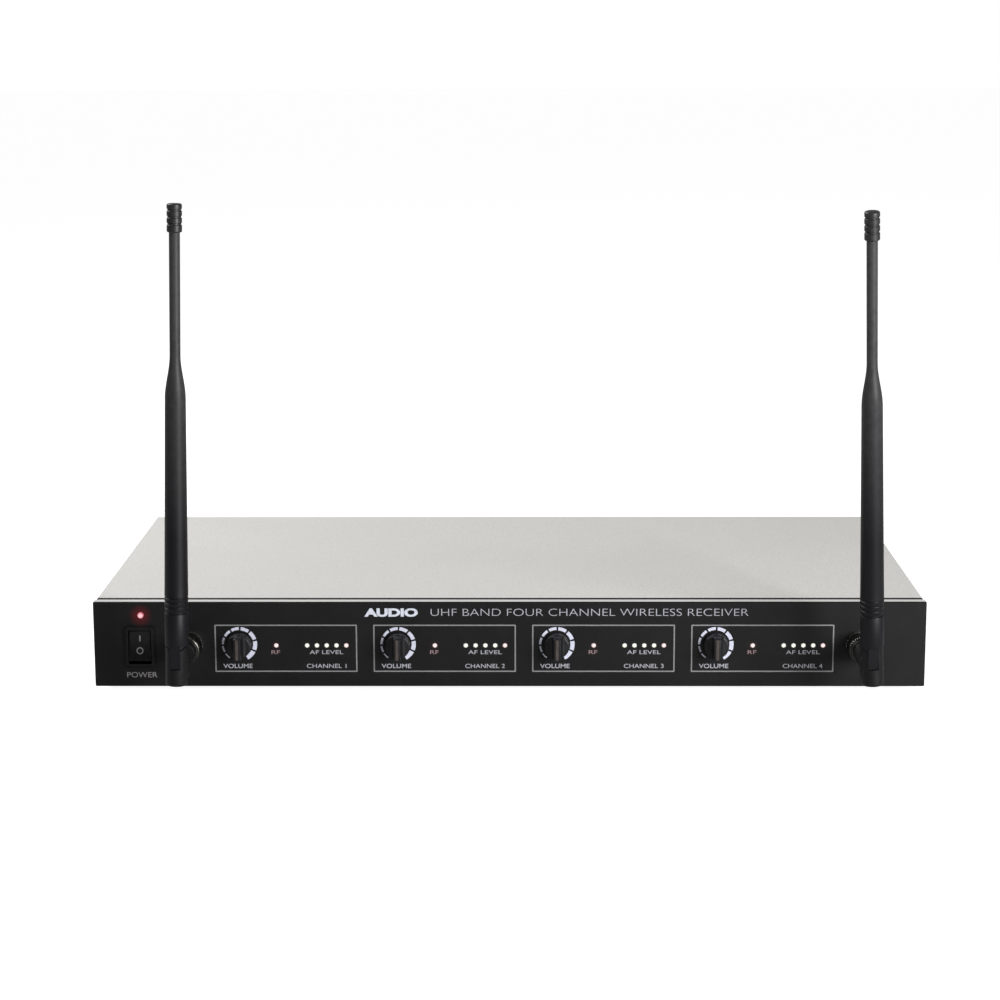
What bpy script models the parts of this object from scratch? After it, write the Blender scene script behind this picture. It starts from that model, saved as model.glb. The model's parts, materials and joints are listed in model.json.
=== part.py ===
"""A four-channel wireless microphone receiver with two front-mounted whip antennas.

The frame is +X to the right, +Y to the back and +Z up, with the origin on the surface that
the rubber feet stand on. Every forward-facing round part is modelled along its own +Z axis
and turned to face -Y. All lengths are in metres.
"""

from math import cos, hypot, pi, radians, sin

import bmesh
import bpy
from mathutils import Matrix, Vector

MM = 0.001
GAP = 0.3 * MM
FORWARD = (pi / 2, 0, 0)
BACKWARD = (-pi / 2, 0, 0)

# Case
CASE_WIDTH = 420 * MM
PANEL_HEIGHT = 44 * MM
CASE_DEPTH = 216 * MM
FOOT_HEIGHT = 4 * MM
PANEL_Z = FOOT_HEIGHT
PANEL_FRONT_Y = -70 * MM
PANEL_RIM_DEPTH = 5.6 * MM
PANEL_FACE = 1.8 * MM
PANEL_RIM = 1.5 * MM
CASE_BACK_Y = PANEL_FRONT_Y + CASE_DEPTH
COVER_HALF_WIDTH = 209.3 * MM
COVER_SHEET = 1.2 * MM
COVER_TOP_Z = PANEL_Z + 44 * MM
COVER_SEAM = 2.4 * MM
LIP_REACH = 4.4 * MM
LIP_STEP = 3 * MM
LIP_SHEET = 1 * MM
TRAY_SHEET = 1 * MM
TRAY_BOTTOM_Z = PANEL_Z + 1.9 * MM
TRAY_HALF_WIDTH = COVER_HALF_WIDTH - COVER_SHEET - 2 * GAP
TRAY_LIP = 9 * MM
REAR_SHEET = 1.2 * MM
REAR_Y = CASE_BACK_Y - 1.4 * MM
FOOT_RADIUS = 8 * MM
FOOT_INSET_X = 30 * MM
FOOT_INSET_Y = 30 * MM

# Controls, from the panel's centre and its lower edge
CHANNELS = 4
CHANNEL_PITCH = 80.2 * MM
KNOB_1_X = -136.3 * MM
CONTROL_Z = PANEL_Z + 22 * MM
KNOB_RADIUS = 6.2 * MM
KNOB_BASE = 6 * MM
KNOB_REACH = 12.5 * MM
KNOB_CLEARANCE = 0.7 * MM
GRIP_WIDTH = 3.4 * MM
GRIP_LENGTH = 11.4 * MM
SHAFT_RADIUS = 3 * MM
SHAFT_REACH = 4.6 * MM
LIGHT_Z = PANEL_Z + 21.4 * MM
LIGHT_RADIUS = 1.05 * MM
RF_LIGHT_X = 18.6 * MM
FIRST_LEVEL_LIGHT_X = 34.2 * MM
LEVEL_LIGHT_PITCH = 4.95 * MM
LEVEL_LIGHTS = 5
POWER_LED_X = -186 * MM
POWER_LED_Z = PANEL_Z + 37 * MM
SWITCH_X = -186.5 * MM
SWITCH_Z = PANEL_Z + 20.9 * MM
BEZEL_WIDTH = 15 * MM
BEZEL_HEIGHT = 21 * MM
ROCKER_WIDTH = 11 * MM
ROCKER_HEIGHT = 15.6 * MM
ROCKER_THROW = 16

# Antennas, each a straight plug that turns about Y, a fork and a whip that folds forward
SOCKET_Z = PANEL_Z + 22 * MM
SOCKET_X = {"left": -161.6 * MM, "right": 176.6 * MM}
ANTENNA_LEAN = {"left": 1.3, "right": -2.6}
WHIP_TILT = {"left": 0, "right": 7.5}
ANTENNA_REACH = 46 * MM
FORK_RADIUS = 5.5 * MM
FORK_TOP = 11.4 * MM
FORK_BOTTOM = 8.4 * MM
PIN_ABOVE_AXIS = 5.2 * MM
PIN_RADIUS = 1.5 * MM
SLOT_WIDTH = 5 * MM
TONGUE_WIDTH = 4.4 * MM
TONGUE_RADIUS = 5 * MM
TONGUE_FRONT = 4.4 * MM
SHOULDER = 6.5 * MM
COLLAR_RADIUS = 5.75 * MM
COLLAR_TOP = 22.6 * MM
TAPER_TOP_RADIUS = 5 * MM
TAPER_TOP = 127 * MM
ROD_RADIUS = 2.6 * MM
ROD_START = 148.5 * MM
WHIP_TOP = 220 * MM
CAP_LENGTH = 13.5 * MM
CAP_RADIUS = 3.6 * MM

# Rear
REAR_Z = PANEL_Z + 22 * MM
XLR_1_X = 120 * MM
XLR_PITCH = 45 * MM
MIX_JACK_X = -62 * MM
WINDOW_HALF_WIDTH = 11.5 * MM
DC_INLET_X = -150 * MM
BOARD_Z = PANEL_Z + 8.2 * MM
BOARD_SHEET = 1.6 * MM


def emptied_scene():
    """Removes every object and makes the two collections that the part uses."""
    for thing in list(bpy.data.objects):
        bpy.data.objects.remove(thing)
    parts = bpy.data.collections.new("wireless_receiver")
    cutters = bpy.data.collections.new("cutters")
    bpy.context.scene.collection.children.link(parts)
    bpy.context.scene.collection.children.link(cutters)
    return parts, cutters


PARTS, CUTTERS = emptied_scene()


def material(name, colour, roughness, metallic=0.0):
    made = bpy.data.materials.new(name)
    made.use_nodes = True
    shader = made.node_tree.nodes["Principled BSDF"]
    shader.inputs["Base Color"].default_value = (*colour, 1)
    shader.inputs["Roughness"].default_value = roughness
    shader.inputs["Metallic"].default_value = metallic
    return made


def placed(name, mesh, where, location=(0, 0, 0), rotation=(0, 0, 0), parent=None):
    thing = bpy.data.objects.new(name, mesh)
    where.objects.link(thing)
    thing.location = location
    thing.rotation_euler = rotation
    thing.parent = parent
    return thing


def part(name, shape, colour, roughness, metallic=0.0, **place):
    """Makes a named node from a bmesh or a curve, with its own material."""
    made = placed(name, finished(shape, name), PARTS, **place)
    made.data.materials.append(material(name, colour, roughness, metallic))
    return made


def finished(shape, name):
    """Turns a bmesh into a mesh that is smooth apart from its sharp edges."""
    if not isinstance(shape, bmesh.types.BMesh):
        return shape
    mesh = bpy.data.meshes.new(name)
    shape.to_mesh(mesh)
    shape.free()
    mesh.shade_smooth()
    mesh.set_sharp_from_angle(angle=radians(35))
    return mesh


def combined(thing, shape, operation, **place):
    """Cuts a shape from a part, or joins it on, in the part's own frame unless placed."""
    tool = placed(f"{thing.name}_{operation.lower()}", finished(shape, "tool"), CUTTERS, **place)
    if not place:
        tool.location = thing.location
        tool.rotation_euler = thing.rotation_euler
        tool.parent = thing.parent
    tool.hide_render = True
    tool.display_type = "WIRE"
    modifier = thing.modifiers.new(operation.lower(), "BOOLEAN")
    modifier.operation = operation
    modifier.object = tool
    return tool


def cut(thing, shape, **place):
    return combined(thing, shape, "DIFFERENCE", **place)


def join(thing, shape, **place):
    return combined(thing, shape, "UNION", **place)


def bevelled(thing, width, segments=1):
    modifier = thing.modifiers.new("edges", "BEVEL")
    modifier.width = width
    modifier.segments = segments
    modifier.limit_method = "ANGLE"
    return thing


def boxes(*corners):
    """A bmesh with a box for each pair of low and high corners."""
    shape = bmesh.new()
    for low, high in corners:
        low, high = Vector(low), Vector(high)
        size = Matrix.Diagonal((*(high - low), 1))
        bmesh.ops.create_cube(shape, size=1, matrix=Matrix.Translation((low + high) / 2) @ size)
    return shape


def rod(shape, radius, start, end, centre=(0, 0), axis="Z", segments=16, end_radius=None):
    """Adds a cylinder or cone from start to end along an axis. centre is on the other two."""
    turns = {"Z": Matrix(), "X": Matrix.Rotation(pi / 2, 4, "Y"), "Y": Matrix.Rotation(-pi / 2, 4, "X")}
    middle = list(centre)
    middle.insert("XYZ".index(axis), (start + end) / 2)
    bmesh.ops.create_cone(
        shape,
        cap_ends=True,
        segments=segments,
        radius1=radius,
        radius2=radius if end_radius is None else end_radius,
        depth=end - start,
        matrix=Matrix.Translation(middle) @ turns[axis],
    )
    return shape


def rods(*settings, **shared):
    shape = bmesh.new()
    for setting in settings:
        rod(shape, *setting, **shared)
    return shape


def turned(name, profile, steps=16):
    """A bmesh turned about Z from (radius, height) points, listed from its top to its bottom."""
    mesh = bpy.data.meshes.new(name)
    points = [(radius, 0, height) for radius, height in profile]
    mesh.from_pydata(points, [(i, i + 1) for i in range(len(points) - 1)], [])
    lathe = placed(name, mesh, CUTTERS)
    screw = lathe.modifiers.new("turn", "SCREW")
    screw.steps = screw.render_steps = steps
    screw.use_merge_vertices = True
    screw.merge_threshold = 0.00001
    bpy.context.view_layer.update()
    solid = lathe.evaluated_get(bpy.context.evaluated_depsgraph_get())
    shape = bmesh.new()
    shape.from_mesh(solid.to_mesh())
    solid.to_mesh_clear()
    bpy.data.objects.remove(lathe)
    return shape


def arc(centre, radius, start, end, steps):
    """Points on an arc in the (radius, height) plane, by angle in degrees from the radius axis."""
    angles = [radians(start + (end - start) * i / steps) for i in range(steps + 1)]
    return [(centre[0] + radius * cos(a), centre[1] + radius * sin(a)) for a in angles]


def outline(points, thickness):
    """A bmesh plate with this flat outline in XY and half its thickness on each side."""
    curve = bpy.data.curves.new("outline", "CURVE")
    curve.dimensions = "2D"
    curve.fill_mode = "BOTH"
    curve.extrude = thickness / 2
    line = curve.splines.new("POLY")
    line.points.add(len(points) - 1)
    for point, (x, y) in zip(line.points, points):
        point.co = (x, y, 0, 1)
    line.use_cyclic_u = True
    return mesh_of_curve(curve)


def mesh_of_curve(curve):
    """A bmesh of a curve, with its caps or sheets welded on."""
    holder = placed("curve", curve, CUTTERS)
    bpy.context.view_layer.update()
    seen = holder.evaluated_get(bpy.context.evaluated_depsgraph_get())
    mesh = bpy.data.meshes.new_from_object(seen)
    shape = bmesh.new()
    shape.from_mesh(mesh)
    bmesh.ops.remove_doubles(shape, verts=shape.verts, dist=0.000001)
    bpy.data.objects.remove(holder)
    return shape


def cable(name, points, radius, colour, resolution=2):
    """A round lead on a straight-segment spline."""
    curve = bpy.data.curves.new(name, "CURVE")
    curve.dimensions = "3D"
    curve.bevel_depth = radius
    curve.bevel_resolution = resolution
    curve.use_fill_caps = True
    line = curve.splines.new("POLY")
    line.points.add(len(points) - 1)
    for point, place in zip(line.points, points):
        point.co = (*place, 1)
    return part(name, curve, colour, 0.6)


def bent(start, leaving, arriving, end, steps=14):
    """Points on a smooth bend between two places, with the handles of a cubic curve."""
    route = [Vector(p) for p in (start, leaving, arriving, end)]
    found = []
    for i in range(steps + 1):
        t = i / steps
        weights = ((1 - t) ** 3, 3 * t * (1 - t) ** 2, 3 * t * t * (1 - t), t**3)
        found.append(sum((w * p for w, p in zip(weights, route)), Vector()))
    return found


def knob_x(channel):
    return KNOB_1_X + channel * CHANNEL_PITCH


def light_places(channel):
    """X of a channel's reception light and of its level lights."""
    level = knob_x(channel) + FIRST_LEVEL_LIGHT_X
    return [knob_x(channel) + RF_LIGHT_X] + [level + i * LEVEL_LIGHT_PITCH for i in range(LEVEL_LIGHTS)]


def front_panel():
    """A shallow metal pan: the face, and a rim that meets the case behind it."""
    half = CASE_WIDTH / 2
    rim_back = PANEL_FRONT_Y + PANEL_RIM_DEPTH
    top = PANEL_Z + PANEL_HEIGHT
    shape = boxes(((-half, PANEL_FRONT_Y, PANEL_Z), (half, rim_back, top)))
    panel = bevelled(part("front_panel", shape, (0.02, 0.02, 0.022), 0.35, 0.6), 0.5 * MM)
    inner = half - PANEL_RIM
    low = (-inner, PANEL_FRONT_Y + PANEL_FACE, PANEL_Z + PANEL_RIM)
    cut(panel, boxes((low, (inner, rim_back + 1 * MM, top - PANEL_RIM))))
    before, behind = PANEL_FRONT_Y - 1 * MM, PANEL_FRONT_Y + PANEL_FACE + 1 * MM
    holes = bmesh.new()
    for channel in range(CHANNELS):
        rod(holes, SHAFT_RADIUS + 1.1 * MM, before, behind, (knob_x(channel), CONTROL_Z), "Y")
        for x in light_places(channel):
            rod(holes, LIGHT_RADIUS + 0.2 * MM, before, behind, (x, LIGHT_Z), "Y", segments=6)
    for x in SOCKET_X.values():
        rod(holes, 5.1 * MM, before, behind, (x, SOCKET_Z), "Y")
    rod(holes, 1.8 * MM, before, behind, (POWER_LED_X, POWER_LED_Z), "Y", segments=12)
    cut(panel, holes)
    reach = (6.8 * MM, 9.8 * MM)
    low = (SWITCH_X - reach[0], before, SWITCH_Z - reach[1])
    high = (SWITCH_X + reach[0], behind, SWITCH_Z + reach[1])
    cut(panel, boxes((low, high)))
    return panel


def chassis_tray():
    """The folded bottom, with a lip all round and posts for the main board."""
    front = PANEL_FRONT_Y + PANEL_FACE + 0.5 * MM
    back = REAR_Y - REAR_SHEET - GAP
    low, high = (-TRAY_HALF_WIDTH, front, TRAY_BOTTOM_Z), (TRAY_HALF_WIDTH, back, TRAY_BOTTOM_Z + TRAY_LIP)
    tray = part("chassis_tray", boxes((low, high)), (0.5, 0.5, 0.5), 0.35, 0.9)
    inside_low = [c + TRAY_SHEET for c in low]
    inside_high = [high[0] - TRAY_SHEET, high[1] - TRAY_SHEET, high[2] + 1 * MM]
    cut(tray, boxes((inside_low, inside_high)))
    posts = bmesh.new()
    for x in (-180 * MM, 0, 180 * MM):
        for y in (-30 * MM, 100 * MM):
            rod(posts, 3 * MM, TRAY_BOTTOM_Z + TRAY_SHEET / 2, BOARD_Z - GAP, (x, y), segments=12)
    join(tray, posts)
    return tray


def top_cover():
    """The folded sheet that makes the top and both sides."""
    half = COVER_HALF_WIDTH
    front = PANEL_FRONT_Y + PANEL_RIM_DEPTH + COVER_SEAM
    bottom = PANEL_Z + 0.5 * MM
    shape = boxes(((-half, front, bottom), (half, CASE_BACK_Y, COVER_TOP_Z)))
    cover = bevelled(part("top_cover", shape, (0.66, 0.65, 0.63), 0.4, 0.3), 0.6 * MM)
    inner = half - COVER_SHEET
    low = (-inner, front - 1 * MM, bottom - 1 * MM)
    cut(cover, boxes((low, (inner, CASE_BACK_Y + 1 * MM, COVER_TOP_Z - COVER_SHEET))))
    cover_lip(cover, inner, front)
    return cover


def cover_lip(cover, inner, front):
    """The stepped front lip that backs the seam and reaches under the panel's rim."""
    foot = TRAY_BOTTOM_Z + TRAY_LIP + GAP
    lip_top = PANEL_Z + PANEL_HEIGHT - PANEL_RIM - GAP
    start, end = front - LIP_REACH, front + LIP_STEP
    wide = inner + 0.05 * MM
    step_top = COVER_TOP_Z - COVER_SHEET + 0.05 * MM
    join(cover, boxes(((-wide, front + 0.2 * MM, foot), (wide, end, step_top))))
    join(cover, boxes(((-inner, start, foot), (inner, end, lip_top))))
    inside = inner - LIP_SHEET
    hollow = ((-inside, start - 1 * MM, foot - 1 * MM), (inside, end + 1 * MM, lip_top - LIP_SHEET))
    cut(cover, boxes(hollow))


def rear_panel():
    """The flat back, with a flange under the cover's top, a hole for each connector and a square
    window for the mixed output's plate."""
    half = TRAY_HALF_WIDTH
    top = COVER_TOP_Z - COVER_SHEET - GAP
    face = ((-half, REAR_Y - REAR_SHEET, PANEL_Z + 0.8 * MM), (half, REAR_Y, top))
    panel = part("rear_panel", boxes(face), (0.03, 0.03, 0.03), 0.5, 0.2)
    join(panel, boxes(((-half, REAR_Y - 9 * MM, top - REAR_SHEET), (half, REAR_Y - REAR_SHEET / 2, top))))
    holes = bmesh.new()
    start, end = REAR_Y - 3 * MM, REAR_Y + 1 * MM
    for channel in range(CHANNELS):
        rod(holes, 11 * MM, start, end, (XLR_1_X - channel * XLR_PITCH, REAR_Z), "Y", segments=20)
    rod(holes, 4.3 * MM, start, end, (DC_INLET_X, REAR_Z), "Y")
    cut(panel, holes)
    low = (MIX_JACK_X - WINDOW_HALF_WIDTH, start, REAR_Z - WINDOW_HALF_WIDTH)
    cut(panel, boxes((low, (MIX_JACK_X + WINDOW_HALF_WIDTH, end, REAR_Z + WINDOW_HALF_WIDTH))))
    return panel


def mix_plate():
    """The plate that fills the back's window and carries the jack. Its ears are behind the back."""
    inner, outer = WINDOW_HALF_WIDTH - GAP, WINDOW_HALF_WIDTH + 2 * MM
    neck, tall = inner - 0.5 * MM, 10.4 * MM
    face = boxes(((-inner, -inner, -REAR_SHEET), (inner, inner, 0)))
    place = (MIX_JACK_X, REAR_Y, REAR_Z)
    plate = part("mix_plate", face, (0.03, 0.03, 0.03), 0.5, 0.2, location=place, rotation=BACKWARD)
    join(plate, boxes(((-neck, -tall, -2.5 * MM), (neck, tall, -0.6 * MM))))
    join(plate, boxes(((-outer, -tall, -2.6 * MM), (outer, tall, -REAR_SHEET - GAP))))
    cut(plate, boxes(((-8.4 * MM, -8.4 * MM, -3 * MM), (8.4 * MM, 8.4 * MM, -1.2 * MM))))
    cut(plate, boxes(((-5.5 * MM, -5.5 * MM, -2 * MM), (5.5 * MM, 5.5 * MM, 1 * MM))))


def feet():
    top = TRAY_BOTTOM_Z - GAP
    for side, x in (("left", -1), ("right", 1)):
        for end, y in (("front", PANEL_FRONT_Y + FOOT_INSET_Y), ("rear", CASE_BACK_Y - FOOT_INSET_Y)):
            place = (x * (CASE_WIDTH / 2 - FOOT_INSET_X), y, 0)
            shape = rods((FOOT_RADIUS - 1.5 * MM, 0, top), end_radius=FOOT_RADIUS)
            part(f"foot_{end}_{side}", shape, (0.02, 0.02, 0.02), 0.9, location=place)


def main_board():
    """The board that carries the four tuners, with its larger components joined on."""
    low = (-195 * MM, PANEL_FRONT_Y + 30 * MM, BOARD_Z)
    top = BOARD_Z + BOARD_SHEET
    board = part("main_board", boxes((low, (195 * MM, REAR_Y - 34 * MM, top))), (0.02, 0.16, 0.07), 0.5)
    loaded = boxes(
        ((-186 * MM, 40 * MM, top - MM), (-176 * MM, 72 * MM, top + 18 * MM)),
        ((-172 * MM, 70 * MM, top - MM), (-160 * MM, 82 * MM, top + 2 * MM)),
        ((172 * MM, 40 * MM, top - MM), (186 * MM, 54 * MM, top + 2.4 * MM)),
        ((172 * MM, 62 * MM, top - MM), (186 * MM, 76 * MM, top + 2.4 * MM)),
    )
    for i in range(CHANNELS):
        rod(loaded, 4 * MM, top - MM, top + 12 * MM, (-168 * MM + 22 * MM * (i % 2), 92 * MM), segments=16)
        rod(loaded, 3 * MM, top - MM, top + 9 * MM, (XLR_1_X - i * XLR_PITCH, 96 * MM), segments=12)
    join(board, loaded)
    return board


def front_board():
    """The upright board behind the controls, between the two antenna sockets."""
    y = PANEL_FRONT_Y + 12 * MM
    low = (-150 * MM, y, PANEL_Z + 12.5 * MM)
    high = (165 * MM, y + BOARD_SHEET, PANEL_Z + 40 * MM)
    return part("front_board", boxes((low, high)), (0.02, 0.16, 0.07), 0.5)


def tuner_cans():
    """A folded screen over each channel's tuner, open below where it meets the board."""
    bottom = BOARD_Z + BOARD_SHEET + GAP
    for channel in range(CHANNELS):
        x = -114 * MM + channel * 76 * MM
        low, high = (x - 30 * MM, -28 * MM, bottom), (x + 30 * MM, 26 * MM, bottom + 14 * MM)
        can = part(f"tuner_can_{channel + 1}", boxes((low, high)), (0.75, 0.75, 0.73), 0.3, 1)
        inside_low = (low[0] + 0.8 * MM, low[1] + 0.8 * MM, low[2] - 1 * MM)
        cut(can, boxes((inside_low, [c - 0.8 * MM for c in high])))


def volume_controls():
    """A pot behind each channel's hole, its shaft, and the knob pushed on the shaft."""
    for channel in range(CHANNELS):
        number = channel + 1
        axis = (knob_x(channel), PANEL_FRONT_Y, CONTROL_Z)
        holder = placed(f"volume_axis_{number}", None, PARTS, location=axis, rotation=FORWARD)
        pot_body(f"volume_pot_{number}", holder)
        length = (-8 * MM, SHAFT_REACH)
        shaft = rods((SHAFT_RADIUS, *length))
        part(f"pot_shaft_{number}", shaft, (0.6, 0.6, 0.6), 0.35, 1, parent=holder)
        volume_knob(f"volume_knob_{number}", holder)


def pot_body(name, holder):
    half = 8 * MM
    shape = boxes(((-half, -half, -11.6 * MM), (half, half, -3 * MM)))
    pot = part(name, shape, (0.08, 0.16, 0.22), 0.5, parent=holder)
    join(pot, rods((SHAFT_RADIUS + 0.8 * MM, -5 * MM, -0.2 * MM)))
    cut(pot, rods((SHAFT_RADIUS + GAP, -8.4 * MM, 1 * MM)))
    return pot


def volume_knob(name, holder):
    """A round base with a bar grip across it. The bar's top end points to the setting."""
    back, base_top = KNOB_CLEARANCE, KNOB_BASE
    profile = [(0, base_top)]
    profile += arc((KNOB_RADIUS - 0.9 * MM, base_top - 0.6 * MM), 0.6 * MM, 90, 10, 3)
    profile += [(KNOB_RADIUS, back + 0.4 * MM), (KNOB_RADIUS - 0.3 * MM, back), (0, back)]
    knob = part(name, turned(name, profile, 20), (0.02, 0.02, 0.02), 0.4, parent=holder)
    join(knob, bar_grip())
    cut(knob, rods((SHAFT_RADIUS + GAP, back - 1 * MM, SHAFT_REACH + GAP)))
    return knob


def bar_grip():
    """The bar: flat sides that flare into the base, with rounded ends."""
    half, reach = GRIP_WIDTH / 2, GRIP_LENGTH / 2
    flare = 4.1 * MM
    foot, top = KNOB_BASE - 2 * MM, KNOB_REACH
    side = [(flare, foot), (flare, foot + 2 * MM), (half + 0.6 * MM, KNOB_BASE + 2.2 * MM)]
    side += [(half, KNOB_BASE + 4 * MM), (half, top - 0.4 * MM), (half - 0.4 * MM, top)]
    shape = outline(side + [(-x, z) for x, z in reversed(side)], 2 * reach)
    bmesh.ops.rotate(shape, verts=shape.verts, matrix=Matrix.Rotation(pi / 2, 3, "X"))
    return shape


def light_guides():
    """A clear moulding for each channel that carries its lights through the panel."""
    for channel in range(CHANNELS):
        places = light_places(channel)
        y = PANEL_FRONT_Y
        low = (places[0] - 2.5 * MM, y + 4 * MM, LIGHT_Z - 2 * MM)
        high = (places[-1] + 2.5 * MM, y + 8 * MM, LIGHT_Z + 2 * MM)
        guide = part(f"light_guide_{channel + 1}", boxes((low, high)), (0.8, 0.82, 0.8), 0.1)
        pipes = bmesh.new()
        for x in places:
            rod(pipes, LIGHT_RADIUS, y - 0.1 * MM, y + 11.6 * MM, (x, LIGHT_Z), "Y", segments=6)
        join(guide, pipes)


def power_led():
    """A domed 3 mm lamp with a collar behind the panel and two legs."""
    dome, collar = 1.5 * MM, 1.9 * MM
    profile = arc((0, -0.3 * MM), dome, 90, 0, 5)
    profile += [(dome, -2.2 * MM), (collar, -2.2 * MM), (collar, -3.2 * MM), (0, -3.2 * MM)]
    place = (POWER_LED_X, PANEL_FRONT_Y, POWER_LED_Z)
    shape = turned("led", profile, 12)
    led = part("power_led", shape, (0.8, 0.05, 0.04), 0.15, location=place, rotation=FORWARD)
    leg = 0.25 * MM
    sides = (-0.9 * MM, 0.9 * MM)
    join(led, boxes(*(((x - leg, -leg, -12 * MM), (x + leg, leg, -2.8 * MM)) for x in sides)))


def power_switch():
    """A snap-in rocker switch: its housing, and the rocker on its two stub axles."""
    holder = placed("switch_axis", None, PARTS, location=(SWITCH_X, PANEL_FRONT_Y, SWITCH_Z))
    half_width, half_height = BEZEL_WIDTH / 2, BEZEL_HEIGHT / 2
    bezel = boxes(((-half_width, -2 * MM, -half_height), (half_width, -GAP, half_height)))
    housing = bevelled(part("switch_housing", bezel, (0.02, 0.02, 0.02), 0.35, parent=holder), 0.8 * MM)
    join(housing, boxes(((-6.5 * MM, -1 * MM, -9.5 * MM), (6.5 * MM, 15 * MM, 9.5 * MM))))
    well = (ROCKER_WIDTH / 2 + GAP, ROCKER_HEIGHT / 2 + 1 * MM)
    cut(housing, boxes(((-well[0], -3 * MM, -well[1]), (well[0], 12 * MM, well[1]))))
    cut(housing, rods((1.6 * MM, -6.2 * MM, 6.2 * MM), centre=(4 * MM, 0), axis="X", segments=16))
    blade = 0.4 * MM
    blades = [((-2.4 * MM, 14 * MM, z - blade), (2.4 * MM, 22 * MM, z + blade)) for z in (-6 * MM, 6 * MM)]
    join(housing, boxes(*blades))
    axle = placed("rocker_axis", None, PARTS, location=(0, 4 * MM, 0), parent=holder)
    axle.rotation_euler.x = radians(-ROCKER_THROW / 2)
    power_rocker(axle)


def power_rocker(axle):
    """The rocker's side view, drawn about its axle: a dished front, round ends and a keel."""
    reach = ROCKER_HEIGHT / 2
    dish, middle, end = 1.1 * MM, 5.2 * MM, reach - 0.3 * MM
    front = [(end * i / 4, middle + dish * (i / 4) ** 2) for i in range(-4, 5)]
    side = front + [(reach, 5.6 * MM), (reach - 0.6 * MM, 0.6 * MM), (2.6 * MM, -4.4 * MM)]
    side += [(-2.6 * MM, -4.4 * MM), (-reach + 0.6 * MM, 0.6 * MM), (-reach, 5.6 * MM)]
    shape = outline(side, ROCKER_WIDTH)
    upright = Matrix(((0, 0, 1), (0, -1, 0), (1, 0, 0)))
    bmesh.ops.transform(shape, verts=shape.verts, matrix=upright.to_4x4())
    bmesh.ops.recalc_face_normals(shape, faces=shape.faces)
    rocker = part("power_rocker", shape, (0.02, 0.02, 0.02), 0.3, parent=axle)
    join(rocker, rods((1.2 * MM, -6 * MM, 6 * MM), axis="X", segments=16))


def antenna_socket(side):
    """The bulkhead socket through the panel, and the nut that holds it from behind."""
    place = {"location": (SOCKET_X[side], PANEL_FRONT_Y, SOCKET_Z), "rotation": FORWARD}
    profile = [(0, 12 * MM), (4.8 * MM, 12 * MM), (4.8 * MM, 2.3 * MM), (7 * MM, 2.3 * MM)]
    profile += [(7 * MM, GAP), (4.7 * MM, GAP), (4.7 * MM, -10 * MM), (1 * MM, -10 * MM)]
    profile += [(1 * MM, -14 * MM), (0, -14 * MM)]
    socket = part(f"bnc_socket_{side}", turned("socket", profile), (0.75, 0.74, 0.7), 0.25, 1, **place)
    join(socket, rods((0.9 * MM, -5.5 * MM, 5.5 * MM), centre=(0, 8 * MM), axis="X", segments=12))
    cut(socket, rods((4.1 * MM, 4 * MM, 13 * MM)))
    nut = rods((8 * MM, -4.8 * MM, -2.2 * MM), segments=6)
    nut = part(f"socket_nut_{side}", nut, (0.75, 0.74, 0.7), 0.3, 1, **place)
    cut(nut, rods((5 * MM, -6 * MM, -1 * MM)))


def antenna_coupling(side):
    """The ribbed ring that locks the antenna's plug on the socket with a quarter turn."""
    place = {"location": (SOCKET_X[side], PANEL_FRONT_Y, SOCKET_Z), "rotation": FORWARD}
    back, front, outer = 3 * MM, 15.5 * MM, 7.2 * MM
    profile = [(0, front), (5.6 * MM, front), (6.1 * MM, front - 0.5 * MM), (6.1 * MM, 13 * MM)]
    profile += [(outer, 12.5 * MM), (outer, 4.5 * MM), (6.7 * MM, 4 * MM), (6.7 * MM, back), (0, back)]
    ring = part(f"antenna_nut_{side}", turned("ring", profile, 20), (0.5, 0.5, 0.48), 0.3, 1, **place)
    cut(ring, rods((5.9 * MM, back - 1 * MM, 13.5 * MM)))
    cut(ring, rods((4.6 * MM, 13 * MM, front + 1 * MM)))


def antenna_plug(side, swivel):
    """The plug's metal body: its sleeve, centre pin, collar, and the neck that the fork holds."""
    profile = [(0, -26 * MM), (4.2 * MM, -26 * MM), (4.2 * MM, -32.8 * MM), (5.5 * MM, -32.8 * MM)]
    profile += [(5.5 * MM, -33.6 * MM), (3.8 * MM, -33.6 * MM), (3.8 * MM, -41 * MM), (0, -41 * MM)]
    shape = turned("plug", profile)
    plug = part(f"antenna_plug_{side}", shape, (0.8, 0.78, 0.7), 0.25, 1, parent=swivel, rotation=FORWARD)
    bore = rods((3.1 * MM, -42 * MM, -34.5 * MM))
    cut(plug, bore)
    join(plug, rods((0.7 * MM, -40 * MM, -34 * MM), segments=12))


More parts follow.
